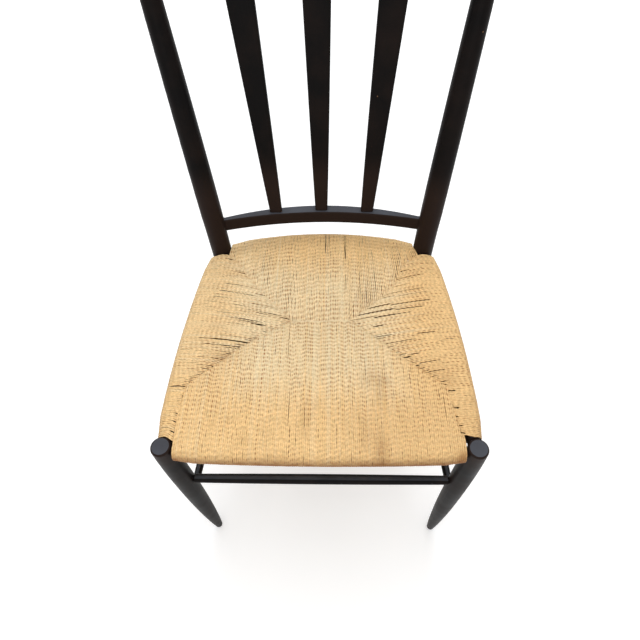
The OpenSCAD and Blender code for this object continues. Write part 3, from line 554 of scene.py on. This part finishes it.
def cord_rings(panel, k, cord, seat):
    """The rings of one cord, 7 points each, with what the material needs at every point."""
    t = ring_places(panel, k, cord, seat)
    mid, before, after = (
        shoulder_lift(panel.line(np.full(len(t), float(number)), t, cord), cord["shoulder"], panel)
        for number in (k, k - 1, k + 1))
    tangent = unit(np.gradient(mid, axis=0))
    side = np.repeat([panel.side_way()], len(t), 0)
    normal = unit(np.cross(tangent, side))
    side = np.cross(normal, tangent)
    s = np.concatenate([[0], np.cumsum(np.linalg.norm(np.diff(mid, axis=0), axis=1))])
    s = s - np.interp(0, -t, s)
    run = PLIES * 2 * math.pi * s / (seat.lay / MM * panel.lay_share)

    def turned(number):
        return run + panel.read(panel.phase, number) + panel.twist(number, s)

    half, pit_shade, flank = [], [], []
    for way, other, number in ((-1, before, k - 1), (1, after, k + 1)):
        spacing = np.abs(np.einsum("ij,ij->i", other - mid, side)) / 2
        if number < 0 or number >= panel.count:
            spacing = np.full(len(t), 2 * cord["r"])
        own = valley_at(turned(k) + way * TILT)
        meet = valley_at(0.5 * (turned(k) + turned(number))) ** panel.meeting
        slit = panel.opened(k + way / 2, t)
        full = cord["r"] * np.where(t < -1, WIDE_BELOW, WIDE_TOP - panel.notch * own)
        full = np.minimum(full, spacing + LAP - slit * (0.1 * slit + 0.4 * own))
        half.append(np.clip(spacing + LAP, LEAST_HALF, np.maximum(full, LEAST_HALF)))
        open_edge = np.clip((spacing - full) / OPEN_GAP, 0, 1)
        # Painted shade in the pit beside this neighbour, where the valleys of both cords meet and where the
        # edge opens
        weight = panel.gaps[k + (way > 0)] * np.clip(1 + 0.6 * panel.clefts(k + way / 2, s), 0.1, 2.5)
        weight = weight * (panel.quiet + (1 - panel.quiet) * smooth(t * 1.3))
        pit_shade.append(np.maximum(weight * meet, open_edge * (0.3 + 0.6 * own)))
        flank.append(seat.flank * (1 - open_edge) * (1 - 0.5 * meet))
    across_turn = TILT * RING[None, :] / (math.pi / 2) + turned(k)[:, None]
    valley = valley_at(across_turn) ** 1.6
    plump = 1 - seat.ply_depth * valley
    near = (RING > 0).astype(int)
    half, pit_shade, flank = (np.stack(v, 1)[:, near] for v in (half, pit_shade, flank))
    across = np.sin(RING)[None, :] * half
    height = cord["r"] * plump * (flank + (1 - flank) * np.cos(RING)[None, :])
    # Painted shade, kept in the valley attribute: the valleys on a cord's crown and the pits at its sides
    # are darkened
    rows = np.clip(0.9 + 0.25 * panel.rows(k, s), 0.2, 1.5)[:, None]
    painted_shade = panel.row_shade * valley * rows + 1.35 * pit_shade * np.abs(np.sin(RING))[None, :] ** 3
    points = mid[:, None] + across[..., None] * side[:, None] + height[..., None] * normal[:, None]
    return points, s, t, np.clip(painted_shade, 0, 1.5), across


def spot(points, x, y, rx, ry):
    """A soft round spot on the seat, 1 in its middle."""
    d = ((points[..., 0] - x) / rx) ** 2 + ((points[..., 1] - y) / ry) ** 2
    return np.exp(-d)


def tones(points, tone, bridge):
    """How tan the cord is at each point, and how far it goes towards the stain colour, for old stains and
    for painted shade.
    """
    x, y, z = points[..., 0], points[..., 1], points[..., 2]
    out = np.maximum(np.abs(x) / 215 * 0.95, np.abs(y - 195) / 215)
    tan = np.clip(0.25 + 0.75 * smooth((out - 0.3) / 0.48), 0, 1)
    tan = np.clip(tan + 0.35 * smooth((RAIL_Z + 10 - z) / 14) + 0.12 * tone, 0, 1)
    # The right side is tanner than the left one, and the left rear corner is the palest
    tan = tan + 0.3 * smooth((x - 110) / 90) - 0.3 * smooth((-x - 40) / 80) * smooth((y - 60) / 100)
    tan = np.clip(tan, 0, 1.3) * (1 - 0.9 * bridge)
    # Painted shade: the front roll is darkened most where it turns down under the seat, and the sides of
    # the seat are darkened below the top
    front = (y < 30) * (np.abs(x) < 200)
    side = (y < 335) * 0.32 * smooth((RAIL_Z + 15 - z) / 10)
    worn = 0.85 * smooth((RAIL_Z + 15 - z) / 15) * smooth((z - RAIL_Z + 22) / 20)
    stain = np.where(front, worn, side) + 0.12 * smooth((x + 20) / 100) * smooth((120 - y) / 80)
    on_top = smooth((z - RAIL_Z + 8) / 8)
    for pixel_x, pixel_y, rx, ry, amount in STAINS:
        stain = stain + 0.85 * on_top * amount * spot(points, *on_seat(pixel_x, pixel_y), rx, ry)
    return tan, np.clip(stain, 0, 1)


def cord_mesh(name, verts, quads, caps):
    """A mesh of tubes: their quads, and the two caps of each, which have a ring's points."""
    mesh = bpy.data.meshes.new(name)
    loops = np.concatenate([quads.reshape(-1)] + caps)
    sizes = np.concatenate([np.full(len(quads), 4), np.full(len(caps), len(RING))])
    starts = np.concatenate([[0], np.cumsum(sizes)[:-1]])
    mesh.vertices.add(len(verts))
    mesh.vertices.foreach_set("co", verts.astype(np.float32).ravel())
    mesh.loops.add(len(loops))
    mesh.loops.foreach_set("vertex_index", loops.astype(np.int32))
    mesh.polygons.add(len(sizes))
    mesh.polygons.foreach_set("loop_start", starts.astype(np.int32))
    mesh.polygons.foreach_set("loop_total", sizes.astype(np.int32))
    mesh.update(calc_edges=True)
    mesh.validate()
    mesh.polygons.foreach_set("use_smooth", np.ones(len(mesh.polygons), bool))
    return mesh


def cord_piece(name, panel, numbers, nodes, cord, seat):
    """One mesh of whole cords, its attributes and its map for baking."""
    ring = len(RING)
    around = np.arange(ring)
    verts, quads, caps, maps, base = [], [], [], [], 0
    values = {"tan": [], "stain": [], "valley": [], "cord_mm": []}
    # The reach on top and below, and 50 mm for the roll
    longest = max(2 * panel.reach[k] + 50 for k in numbers)
    for row, k in enumerate(numbers):
        points, s, t, valley, across = cord_rings(panel, k, cord, seat)
        n = len(s)
        bridge = panel.bridge(k, t)[:, None] * np.ones((1, ring))
        tan, stain = tones(points, panel.tone[k], bridge)
        verts.append((points - (0, MID_Y, 0)).reshape(-1, 3) * MM)
        low = np.arange(n - 1)[:, None] * ring + around
        high = np.arange(n - 1)[:, None] * ring + (around + 1) % ring
        quads.append(np.stack([low, high, high + ring, low + ring], -1).reshape(-1, 4) + base)
        caps += [base + around[::-1], base + (n - 1) * ring + around]
        fibre = np.stack([np.repeat(s[:, None], ring, 1), across, np.full((n, ring), FIBRE_STEP * k)], -1)
        for key, value in (("tan", tan), ("stain", stain), ("valley", valley), ("cord_mm", fibre)):
            values[key].append(value.ravel())
        # In the map each cord is a strip, with a margin of 6 % of its width to its neighbours
        along = np.repeat(((s - s.min()) / longest)[:, None], ring, 1)
        strip = np.repeat(((row + 0.06 + 0.88 * around / (ring - 1)) / len(numbers))[None, :], n, 0)
        maps.append(np.stack([along, strip], -1).reshape(-1, 2))
        base += n * ring
    mesh = cord_mesh(name, np.concatenate(verts), np.concatenate(quads), caps)
    uv = mesh.uv_layers.new(name="OFBake")
    index = np.zeros(len(mesh.loops), np.int32)
    mesh.loops.foreach_get("vertex_index", index)
    uv.data.foreach_set("uv", np.concatenate(maps)[index].astype(np.float32).ravel())
    for key, parts in values.items():
        kind, field = ("FLOAT_VECTOR", "vector") if key == "cord_mm" else ("FLOAT", "value")
        layer = mesh.attributes.new(key, kind, "POINT")
        layer.data.foreach_set(field, np.concatenate(parts).astype(np.float32))
    mesh.materials.append(bpy.data.materials["Twisted_paper_cord"])
    piece = bpy.data.objects.new(name, mesh)
    bpy.context.scene.collection.objects.link(piece)
    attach(piece, "root")
    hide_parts(*nodes)


def even_places(low, high, pitch):
    count = int(round((high - low) / pitch))
    return low + (np.arange(count) + 0.5) * (high - low) / count


def front_panel(cord):
    x = even_places(-199.3, 199.3, 2 * cord["r"])
    reach = along_line(x, FRONT_SEAM) - front_axis(x)
    radius = rail_radius(x, 2 * LEG_IN[0], LEG_SKIN)
    return AcrossPanel("front", 1, x, x.copy(), reach, radius, 11)


def rear_panel(cord):
    """The rear panel, whose cords lie a little further out at their seams than on the rail, and
    whose outer cords go on under the seam."""
    x = even_places(-158.8, 158.8, 2 * cord["r"])
    seam = x * 1.012 + 5 * smooth((x - 50) / 45)
    reach = rear_axis(x) - along_line(seam, REAR_SEAM)
    radius = rail_radius(x, 2 * POST_IN[0], POST_SKIN)
    panel = AcrossPanel("rear", -1, x, seam, reach, radius, 23)
    panel.lay_share = 1.15
    panel.quiet = 0.55
    panel.opening = 0.8
    panel.ends += 2.5 * (np.abs(seam) > 133)
    return panel


def side_panel(sign, cord):
    """Stubs round the rail beside the front leg, then cords that meet the front panel, then
    cords that meet the rear panel. On the rail they lie further back than at their seams."""
    own = SIDES[sign]
    stubs = even_places(own["start"], STUBS_END, 2.72)
    fore_x = even_places(45, own["turn_x"], 2 * cord["r"])[::-1]
    aft_y = even_places(207, own["end"], 3.3)
    aft_x = along_line(aft_y, sorted((y, abs(x)) for x, y in REAR_SEAM if x * sign > 0))
    fore_y = np.array([along_line(sign * x, FRONT_SEAM) for x in fore_x])
    mains = even_places(STUBS_END, RAIL_END, (RAIL_END - STUBS_END) / (len(fore_x) + len(aft_x)))
    y = np.concatenate([stubs, mains])
    lean = own["lean"] * ((STUBS_END - stubs) / 76) ** 2
    seam_y = np.concatenate([stubs + lean, fore_y, aft_y])
    seam_x = np.concatenate([along_line(stubs, own["gusset"]), fore_x, aft_x])
    radius = rail_radius(side_s(y), SIDE_CHORD, POST_SKIN)
    panel = SidePanel(own["name"], sign, y, seam_y, side_axis(y) - seam_x, radius, own["seed"])
    panel.stubs, panel.fore = len(stubs), len(fore_x)
    panel.gaps[:panel.stubs] *= 0.4
    panel.ends += 2.0 * (seam_y > 315)
    return panel


def cut_slit(panel, start, end, width):
    """A slit in the gap between two cords that lies nearest to its middle."""
    (q_start, lateral_start), (q_end, lateral_end) = panel.inwards(*start), panel.inwards(*end)
    gaps = panel.index[:-1] + 0.5
    u = np.clip((q_start + q_end) / 2 / panel.read(panel.reach, gaps), 0, 1)
    rail, seam = panel.read(panel.on_rail, gaps), panel.read(panel.at_seam, gaps)
    off = rail + (seam - rail) * bend_share(u) - (lateral_start + lateral_end) / 2
    k = gaps[np.argmin(np.abs(off))]
    reach = panel.read(panel.reach, k)
    # On the roll, 46 mm of it are one unit of t. A slit that comes near the seam runs on into it.
    low, high = sorted(min(1.15, q / reach) if q > 0 else q / 46 for q in (q_start, q_end))
    fade = (3 + 0.08 * reach * (high - low)) / reach
    high = 1.5 if high > 0.9 else high
    panel.slits.append((k, low - fade / 2, high + fade / 2, fade, width * panel.opening))


def cut_slits(panel):
    for start_x, start_y, end_x, end_y, width in SLITS[panel.name]:
        cut_slit(panel, on_seat(start_x, start_y), on_seat(end_x, end_y), width)


def fray_seam(panel):
    """The seam with the front panel is ragged: the side's cords part for the last few mm."""
    for k in range(panel.stubs, panel.stubs + panel.fore, 2):
        run, width = panel.rng.uniform(5, 14), panel.rng.uniform(0.2, 1.5)
        panel.slits.append((k + 0.5, 1 - run / panel.reach[k], 1.5, 4 / panel.reach[k], width))


# Materials

def feed(tree, node, inputs):
    """Fills inputs of a node: another node's socket is linked, and any other value is set."""
    for key, value in inputs.items():
        if isinstance(value, bpy.types.NodeSocket):
            tree.links.new(value, node.inputs[key])
        else:
            node.inputs[key].default_value = value


def add(tree, kind, inputs=None, **settings):
    """Adds one shader node with its settings, values and links."""
    node = tree.nodes.new(kind)
    for key, value in settings.items():
        setattr(node, key, value)
    feed(tree, node, inputs or {})
    return node


def new_material(name):
    """A new material, its nodes and its shader."""
    material = bpy.data.materials.new(name)
    material.use_nodes = True
    return material, material.node_tree, material.node_tree.nodes["Principled BSDF"]


def rgba(colour_value):
    return (*colour_value, 1.0)


def make_cord_material(seat):
    """Unbleached kraft paper, twisted in two plies and waxed a little: matt, with fine streaks
    along the plies, painted shade in the grooves and slow changes of tone from cord to cord."""
    material, tree, shader = new_material("Twisted_paper_cord")
    tan = add(tree, "ShaderNodeAttribute", attribute_name="tan").outputs["Fac"]
    stain = add(tree, "ShaderNodeAttribute", attribute_name="stain").outputs["Fac"]
    valley = add(tree, "ShaderNodeAttribute", attribute_name="valley").outputs["Fac"]
    along = add(tree, "ShaderNodeAttribute", attribute_name="cord_mm").outputs["Vector"]
    where = add(tree, "ShaderNodeTexCoord").outputs["Object"]
    # Paper fibre: streaks 0.35 mm wide and some 4 mm long
    stretch = add(tree, "ShaderNodeMapping", {"Vector": along, "Scale": (0.25, 2.8, 1.0)})
    fibre = add(tree, "ShaderNodeTexNoise", {"Vector": stretch.outputs["Vector"], "Scale": 1.0,
                                             "Detail": 2.0})
    # Blotches some 12 mm wide, where cord from another reel or with more wax lies
    blotch = add(tree, "ShaderNodeTexNoise", {"Vector": where, "Scale": 80.0, "Detail": 2.0})
    # Flecks some 2 mm wide: knots of fibre and places where the paper took the light
    fleck = add(tree, "ShaderNodeTexNoise", {"Vector": where, "Scale": 420.0, "Detail": 1.0})
    base = add(tree, "ShaderNodeMix", {"Factor": tan, "A": rgba(seat.pale), "B": rgba(seat.tan)},
               data_type="RGBA")
    # Painted shade: the valley attribute mixes the cord towards the groove colour
    deep = add(tree, "ShaderNodeMath", {0: valley, 1: 0.75}, operation="MULTIPLY")
    groove_shaded = add(tree, "ShaderNodeMix", {"Factor": deep.outputs["Value"], "A": base.outputs["Result"],
                                         "B": rgba(seat.groove_shade)}, data_type="RGBA")
    uneven = add(tree, "ShaderNodeMapRange", {"Value": blotch.outputs["Fac"], "From Min": 0.35,
                                              "From Max": 0.75, "To Min": 0.8, "To Max": 1.2})
    # Old stains, and the painted shade on the lower rolls, mix the cord towards the stain colour
    stained = add(tree, "ShaderNodeMath", {0: stain, 1: uneven.outputs["Result"]}, operation="MULTIPLY")
    aged = add(tree, "ShaderNodeMix", {"Factor": stained.outputs["Value"], "A": groove_shaded.outputs["Result"],
                                       "B": rgba(seat.stain)}, data_type="RGBA")
    streaks = add(tree, "ShaderNodeMapRange", {"Value": fibre.outputs["Fac"], "From Min": 0.3,
                                               "From Max": 0.7, "To Min": 0.9, "To Max": 1.06})
    flecks = add(tree, "ShaderNodeMapRange", {"Value": fleck.outputs["Fac"], "From Min": 0.3,
                                              "From Max": 0.7, "To Min": 0.87, "To Max": 1.1})
    blotches = add(tree, "ShaderNodeMapRange", {"Value": blotch.outputs["Fac"], "From Min": 0.3,
                                                "From Max": 0.7, "To Min": 0.95, "To Max": 1.03})
    fine = add(tree, "ShaderNodeMath", {0: streaks.outputs["Result"], 1: flecks.outputs["Result"]},
               operation="MULTIPLY")
    light = add(tree, "ShaderNodeMath", {0: fine.outputs["Value"], 1: blotches.outputs["Result"]},
                operation="MULTIPLY")
    shade = add(tree, "ShaderNodeVectorMath", {0: aged.outputs["Result"], "Scale": light.outputs["Value"]},
                operation="SCALE")
    bump = add(tree, "ShaderNodeBump", {"Height": fibre.outputs["Fac"], "Strength": 0.25,
                                        "Distance": BUMP_DEPTH})
    feed(tree, shader, {"Base Color": shade.outputs["Vector"], "Normal": bump.outputs["Normal"],
                        "Roughness": 0.62, "IOR": 1.5})


def make_wood_material(name, wood, axis):
    """Beech turned or shaped, stained black and lacquered satin: pores run along the piece, the
    stain is rubbed reddish brown in places, and small nicks show bare wood."""
    material, tree, shader = new_material(name)
    where = add(tree, "ShaderNodeTexCoord").outputs["Object"]
    # Pores: streaks 22 times as long as they are wide
    scale = [0.5 / wood.grain] * 3
    scale[axis] = 0.5 / (wood.grain * 22)
    stretch = add(tree, "ShaderNodeMapping", {"Vector": where, "Scale": scale})
    pores = add(tree, "ShaderNodeTexNoise", {"Vector": stretch.outputs["Vector"], "Scale": 1.0,
                                             "Detail": 3.0, "Roughness": 0.6})
    rubs = add(tree, "ShaderNodeTexNoise", {"Vector": where, "Scale": 14.0, "Detail": 4.0,
                                            "Roughness": 0.6}).outputs["Fac"]
    rubbed = add(tree, "ShaderNodeMapRange", {"Value": rubs, "From Min": 0.42, "From Max": 0.75,
                                              "To Min": 0.0, "To Max": wood.rub * 2})
    # The wood about half a metre up, at the lower end of the back, is browner
    height = add(tree, "ShaderNodeSeparateXYZ", {"Vector": where})
    off = add(tree, "ShaderNodeMath", {0: height.outputs["Z"], 1: 0.5}, operation="SUBTRACT")
    away = add(tree, "ShaderNodeMath", {0: off.outputs["Value"]}, operation="ABSOLUTE")
    low = add(tree, "ShaderNodeMapRange", {"Value": away.outputs["Value"], "From Min": 0.05,
                                           "From Max": 0.12, "To Min": 0.8, "To Max": 0.0},
              interpolation_type="SMOOTHSTEP")
    worn = add(tree, "ShaderNodeMath", {0: low.outputs["Result"], 1: rubbed.outputs["Result"]},
               operation="MAXIMUM")
    base = add(tree, "ShaderNodeMix", {"Factor": worn.outputs["Value"], "A": rgba(wood.black),
                                       "B": rgba(wood.brown)}, data_type="RGBA")
    cells = add(tree, "ShaderNodeTexVoronoi", {"Vector": where, "Scale": 26.0, "Randomness": 1.0})
    nick = add(tree, "ShaderNodeMapRange", {"Value": cells.outputs["Distance"], "From Min": 0.018,
                                            "From Max": 0.03, "To Min": 0.7, "To Max": 0.0})
    nicked = add(tree, "ShaderNodeMix", {"Factor": nick.outputs["Result"], "A": base.outputs["Result"],
                                         "B": rgba(wood.bare)}, data_type="RGBA")
    # Faces that look up get a painted reflection of the light above, a bluish grey, with some dust and hand
    # prints
    facing = add(tree, "ShaderNodeNewGeometry")
    up = add(tree, "ShaderNodeSeparateXYZ", {"Vector": facing.outputs["Normal"]})
    facing_up_sheen = add(tree, "ShaderNodeMapRange", {"Value": up.outputs["Z"], "From Min": 0.85, "From Max": 0.99,
                                             "To Min": 0.0, "To Max": wood.dust_and_sheen_share},
                interpolation_type="SMOOTHSTEP")
    smears = add(tree, "ShaderNodeMapRange", {"Value": rubs, "From Min": 0.35, "From Max": 0.65,
                                              "To Min": 0.75, "To Max": 1.2})
    dust_and_sheen = add(tree, "ShaderNodeMath", {0: facing_up_sheen.outputs["Result"], 1: smears.outputs["Result"]},
               operation="MULTIPLY")
    sheened = add(tree, "ShaderNodeMix", {"Factor": dust_and_sheen.outputs["Value"], "A": nicked.outputs["Result"],
                                        "B": rgba(wood.dust_and_sheen)}, data_type="RGBA")
    rough = add(tree, "ShaderNodeMapRange", {"Value": rubs, "From Min": 0.3, "From Max": 0.7,
                                             "To Min": wood.roughness - 0.05,
                                             "To Max": wood.roughness + 0.08})
    bump = add(tree, "ShaderNodeBump", {"Height": pores.outputs["Fac"], "Strength": 0.12,
                                        "Distance": BUMP_DEPTH})
    feed(tree, shader, {"Base Color": sheened.outputs["Result"], "Roughness": rough.outputs["Result"],
                        "Normal": bump.outputs["Normal"], "IOR": 1.5, "Specular IOR Level": wood.shine})


def make_card_material(wood):
    """Brown board, pressed from waste paper: flat and matt, with short fibres. Its colour is
    darkened as painted shade, since it shows only in shadow through the slits.
    """
    material, tree, shader = new_material("Stuffing_card")
    where = add(tree, "ShaderNodeTexCoord").outputs["Object"]
    fibre = add(tree, "ShaderNodeTexNoise", {"Vector": where, "Scale": 400.0, "Detail": 4.0})
    tint = add(tree, "ShaderNodeMapRange", {"Value": fibre.outputs["Fac"], "From Min": 0.3,
                                            "From Max": 0.7, "To Min": 0.8, "To Max": 1.1})
    shade = add(tree, "ShaderNodeVectorMath", {0: tuple(wood.card), "Scale": tint.outputs["Result"]},
                operation="SCALE")
    feed(tree, shader, {"Base Color": shade.outputs["Vector"], "Roughness": 0.85})


def finish_nodes(names, material):
    """Gives CAD pieces their real finish."""
    for name in names:
        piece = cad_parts[name]
        piece.data.materials.clear()
        piece.data.materials.append(bpy.data.materials[material])


# The steps

class CHAIR_OT_materials(bpy.types.Operator):
    """Makes the paper cord, the ebonised wood and the card"""
    bl_idname = "chair.materials"
    bl_label = "Make the materials"

    def execute(self, context):
        make_cord_material(context.scene.chair_cord)
        for way, axis in (("upright", 2), ("across", 0), ("deep", 1)):
            make_wood_material("Ebonised_beech_" + way, context.scene.chair_wood, axis)
        make_card_material(context.scene.chair_wood)
        return {"FINISHED"}


class CHAIR_OT_legs_and_posts(bpy.types.Operator):
    """Finishes the front legs, the back posts and the slats in ebonised beech"""
    bl_idname = "chair.legs_and_posts"
    bl_label = "Finish legs, posts and slats"

    def execute(self, context):
        finish_nodes(["front_leg_left", "front_leg_right", "back_post_left", "back_post_right",
                      "back_slat_left", "back_slat_centre", "back_slat_right"],
                     "Ebonised_beech_upright")
        return {"FINISHED"}


class CHAIR_OT_rails(bpy.types.Operator):
    """Finishes the rails and stretchers in ebonised beech"""
    bl_idname = "chair.rails"
    bl_label = "Finish rails and stretchers"

    def execute(self, context):
        finish_nodes(["front_seat_rail", "rear_seat_rail", "front_stretcher", "rear_stretcher",
                      "lower_back_rail", "crest_rail"],
                     "Ebonised_beech_across")
        finish_nodes(["left_seat_rail", "right_seat_rail", "left_stretcher", "right_stretcher"],
                     "Ebonised_beech_deep")
        return {"FINISHED"}


class CHAIR_OT_card(bpy.types.Operator):
    """Finishes the card that stuffs the seat"""
    bl_idname = "chair.card"
    bl_label = "Finish the card"

    def execute(self, context):
        finish_nodes(["front_card", "rear_card", "left_card", "right_card"],
                     "Stuffing_card")
        return {"FINISHED"}


def weave(seat, make_panel, node, names):
    """Weaves the front or the rear panel, in as many pieces as there are names."""
    cord = cord_numbers(seat)
    panel = make_panel(cord)
    cut_slits(panel)
    for name, numbers in zip(names, np.array_split(panel.index, len(names))):
        cord_piece(name, panel, numbers, [node], cord, seat)


class CHAIR_OT_weave_front(bpy.types.Operator):
    """Weaves the front panel of the seat"""
    bl_idname = "chair.weave_front"
    bl_label = "Weave the front panel"

    def execute(self, context):
        weave(context.scene.chair_cord, front_panel, "front_weave",
              ["front_cords_left", "front_cords_middle", "front_cords_right"])
        return {"FINISHED"}


class CHAIR_OT_weave_rear(bpy.types.Operator):
    """Weaves the rear panel of the seat"""
    bl_idname = "chair.weave_rear"
    bl_label = "Weave the rear panel"

    def execute(self, context):
        weave(context.scene.chair_cord, rear_panel, "rear_weave", ["rear_cords_left", "rear_cords_right"])
        return {"FINISHED"}


class CHAIR_OT_weave_sides(bpy.types.Operator):
    """Weaves the two side panels of the seat"""
    bl_idname = "chair.weave_sides"
    bl_label = "Weave the side panels"

    def execute(self, context):
        seat = context.scene.chair_cord
        cord = cord_numbers(seat)
        for sign in (-1, 1):
            panel = side_panel(sign, cord)
            cut_slits(panel)
            fray_seam(panel)
            # The piece in front goes on a dozen cords past the middle of the seam with the front panel
            fore, aft = np.split(panel.index, [panel.stubs + panel.fore // 2 + 12])
            for part, numbers in (("fore", fore), ("aft", aft)):
                name = panel.name + "_cords_" + part
                cord_piece(name, panel, numbers, [panel.name + "_weave"], cord, seat)
        return {"FINISHED"}


def softbox(name, place, size, watts, tint):
    """A large soft lamp that looks at the middle of the chair."""
    data = bpy.data.lights.new(name, "AREA")
    data.shape, data.size, data.size_y = "RECTANGLE", size[0], size[1]
    data.energy, data.color = watts, tint
    lamp = bpy.data.objects.new(name, data)
    lamp.location = place
    way = Vector((0, 0, 0.4)) - Vector(place)
    lamp.rotation_euler = way.to_track_quat("-Z", "Y").to_euler()
    bpy.context.scene.collection.objects.link(lamp)


def set_up_camera(scene):
    data = bpy.data.cameras.new("Camera")
    data.lens, data.sensor_width, data.clip_start = LENS, SENSOR, 0.05
    camera = bpy.data.objects.new("Camera", data)
    ahead, right, down = camera_axes()
    axes = Matrix((right, -down, -ahead)).transposed()
    camera.matrix_world = Matrix.Translation(EYE) @ axes.to_4x4()
    scene.collection.objects.link(camera)
    scene.camera = camera
    scene.view_settings.view_transform = "Standard"


def seen_by_camera(tree):
    """1 for rays that end in the picture, straight or by a shine, and 0 for light on the chair."""
    rays = add(tree, "ShaderNodeLightPath")
    seen = add(tree, "ShaderNodeMath", {0: rays.outputs["Is Camera Ray"], 1: rays.outputs["Is Glossy Ray"]},
               operation="MAXIMUM")
    return seen.outputs["Value"]


def lay_floor(scene, stage):
    """A pale floor, which fades into the white room, so that no horizon shows."""
    mesh = bpy.data.meshes.new("studio_floor")
    half = 8.0
    corners = [(-half, -half, 0), (half, -half, 0), (half, half, 0), (-half, half, 0)]
    mesh.from_pydata(corners, [], [range(4)])
    floor = bpy.data.objects.new("studio_floor", mesh)
    scene.collection.objects.link(floor)
    material, tree, shader = new_material("Pale_studio_floor")
    where = add(tree, "ShaderNodeTexCoord")
    away = add(tree, "ShaderNodeVectorMath", {0: where.outputs["Object"]}, operation="LENGTH")
    fade = add(tree, "ShaderNodeMapRange", {"Value": away.outputs["Value"], "From Min": 0.9,
                                            "From Max": 4.0, "To Min": stage.floor_lift, "To Max": 1.0},
               interpolation_type="SMOOTHSTEP")
    lift = add(tree, "ShaderNodeMath", {0: seen_by_camera(tree), 1: fade.outputs["Result"]},
               operation="MULTIPLY")
    feed(tree, shader, {"Base Color": rgba(stage.floor), "Roughness": 0.9,
                        "Emission Color": (1, 1, 1, 1), "Emission Strength": lift.outputs["Value"]})
    mesh.materials.append(material)


def light_room(scene, stage):
    """A white room that lights the chair softly from all round."""
    world = bpy.data.worlds.new("Soft_room")
    world.use_nodes = True
    tree = world.node_tree
    strength = add(tree, "ShaderNodeMapRange", {"Value": seen_by_camera(tree), "To Min": stage.world,
                                                "To Max": 1.0})
    feed(tree, tree.nodes["Background"], {"Color": (1, 1, 1, 1), "Strength": strength.outputs["Result"]})
    scene.world = world


class CHAIR_OT_stage(bpy.types.Operator):
    """Sets up the camera, the pale floor and the soft studio light"""
    bl_idname = "chair.stage"
    bl_label = "Set up the stage"

    def execute(self, context):
        scene = context.scene
        stage = scene.chair_stage
        set_up_camera(scene)
        lay_floor(scene, stage)
        light_room(scene, stage)
        softbox("Top_softbox", (0, 0.2, 2.6), (2.2, 2.2), stage.top_power, (1, 1, 1))
        softbox("Back_softbox", (0.1, 1.7, 2.7), (1.3, 0.9), stage.back_power, (0.86, 0.93, 1.0))
        softbox("Front_softbox", (-0.3, -2.4, 1.5), (2.4, 1.6), stage.front_power, (1, 0.985, 0.96))
        return {"FINISHED"}


class CHAIR_PT_panel(bpy.types.Panel):
    """Lists the steps that finish the chair"""
    bl_idname = "CHAIR_PT_panel"
    bl_label = "High-back chair"
    bl_space_type = "VIEW_3D"
    bl_region_type = "UI"
    bl_category = "Chair"

    def draw(self, context):
        for step in STEPS:
            self.layout.operator(step)
        for group in (context.scene.chair_cord, context.scene.chair_wood, context.scene.chair_stage):
            box = self.layout.box()
            for key in group.__annotations__:
                box.prop(group, key)


CLASSES = [ChairSeatCord, ChairWood, ChairStage, CHAIR_OT_materials, CHAIR_OT_legs_and_posts,
           CHAIR_OT_rails, CHAIR_OT_card, CHAIR_OT_weave_front, CHAIR_OT_weave_rear,
           CHAIR_OT_weave_sides, CHAIR_OT_stage, CHAIR_PT_panel]
STEPS = [item.bl_idname for item in CLASSES if issubclass(item, bpy.types.Operator)]


def register():
    for item in CLASSES:
        bpy.utils.register_class(item)
    bpy.types.Scene.chair_cord = PointerProperty(type=ChairSeatCord)
    bpy.types.Scene.chair_wood = PointerProperty(type=ChairWood)
    bpy.types.Scene.chair_stage = PointerProperty(type=ChairStage)


def unregister():
    del bpy.types.Scene.chair_cord, bpy.types.Scene.chair_wood, bpy.types.Scene.chair_stage
    for item in reversed(CLASSES):
        bpy.utils.unregister_class(item)


def main():
    register()
    for step in STEPS:
        group, name = step.split(".")
        getattr(getattr(bpy.ops, group), name)()


if __name__ == "__main__":
    main()
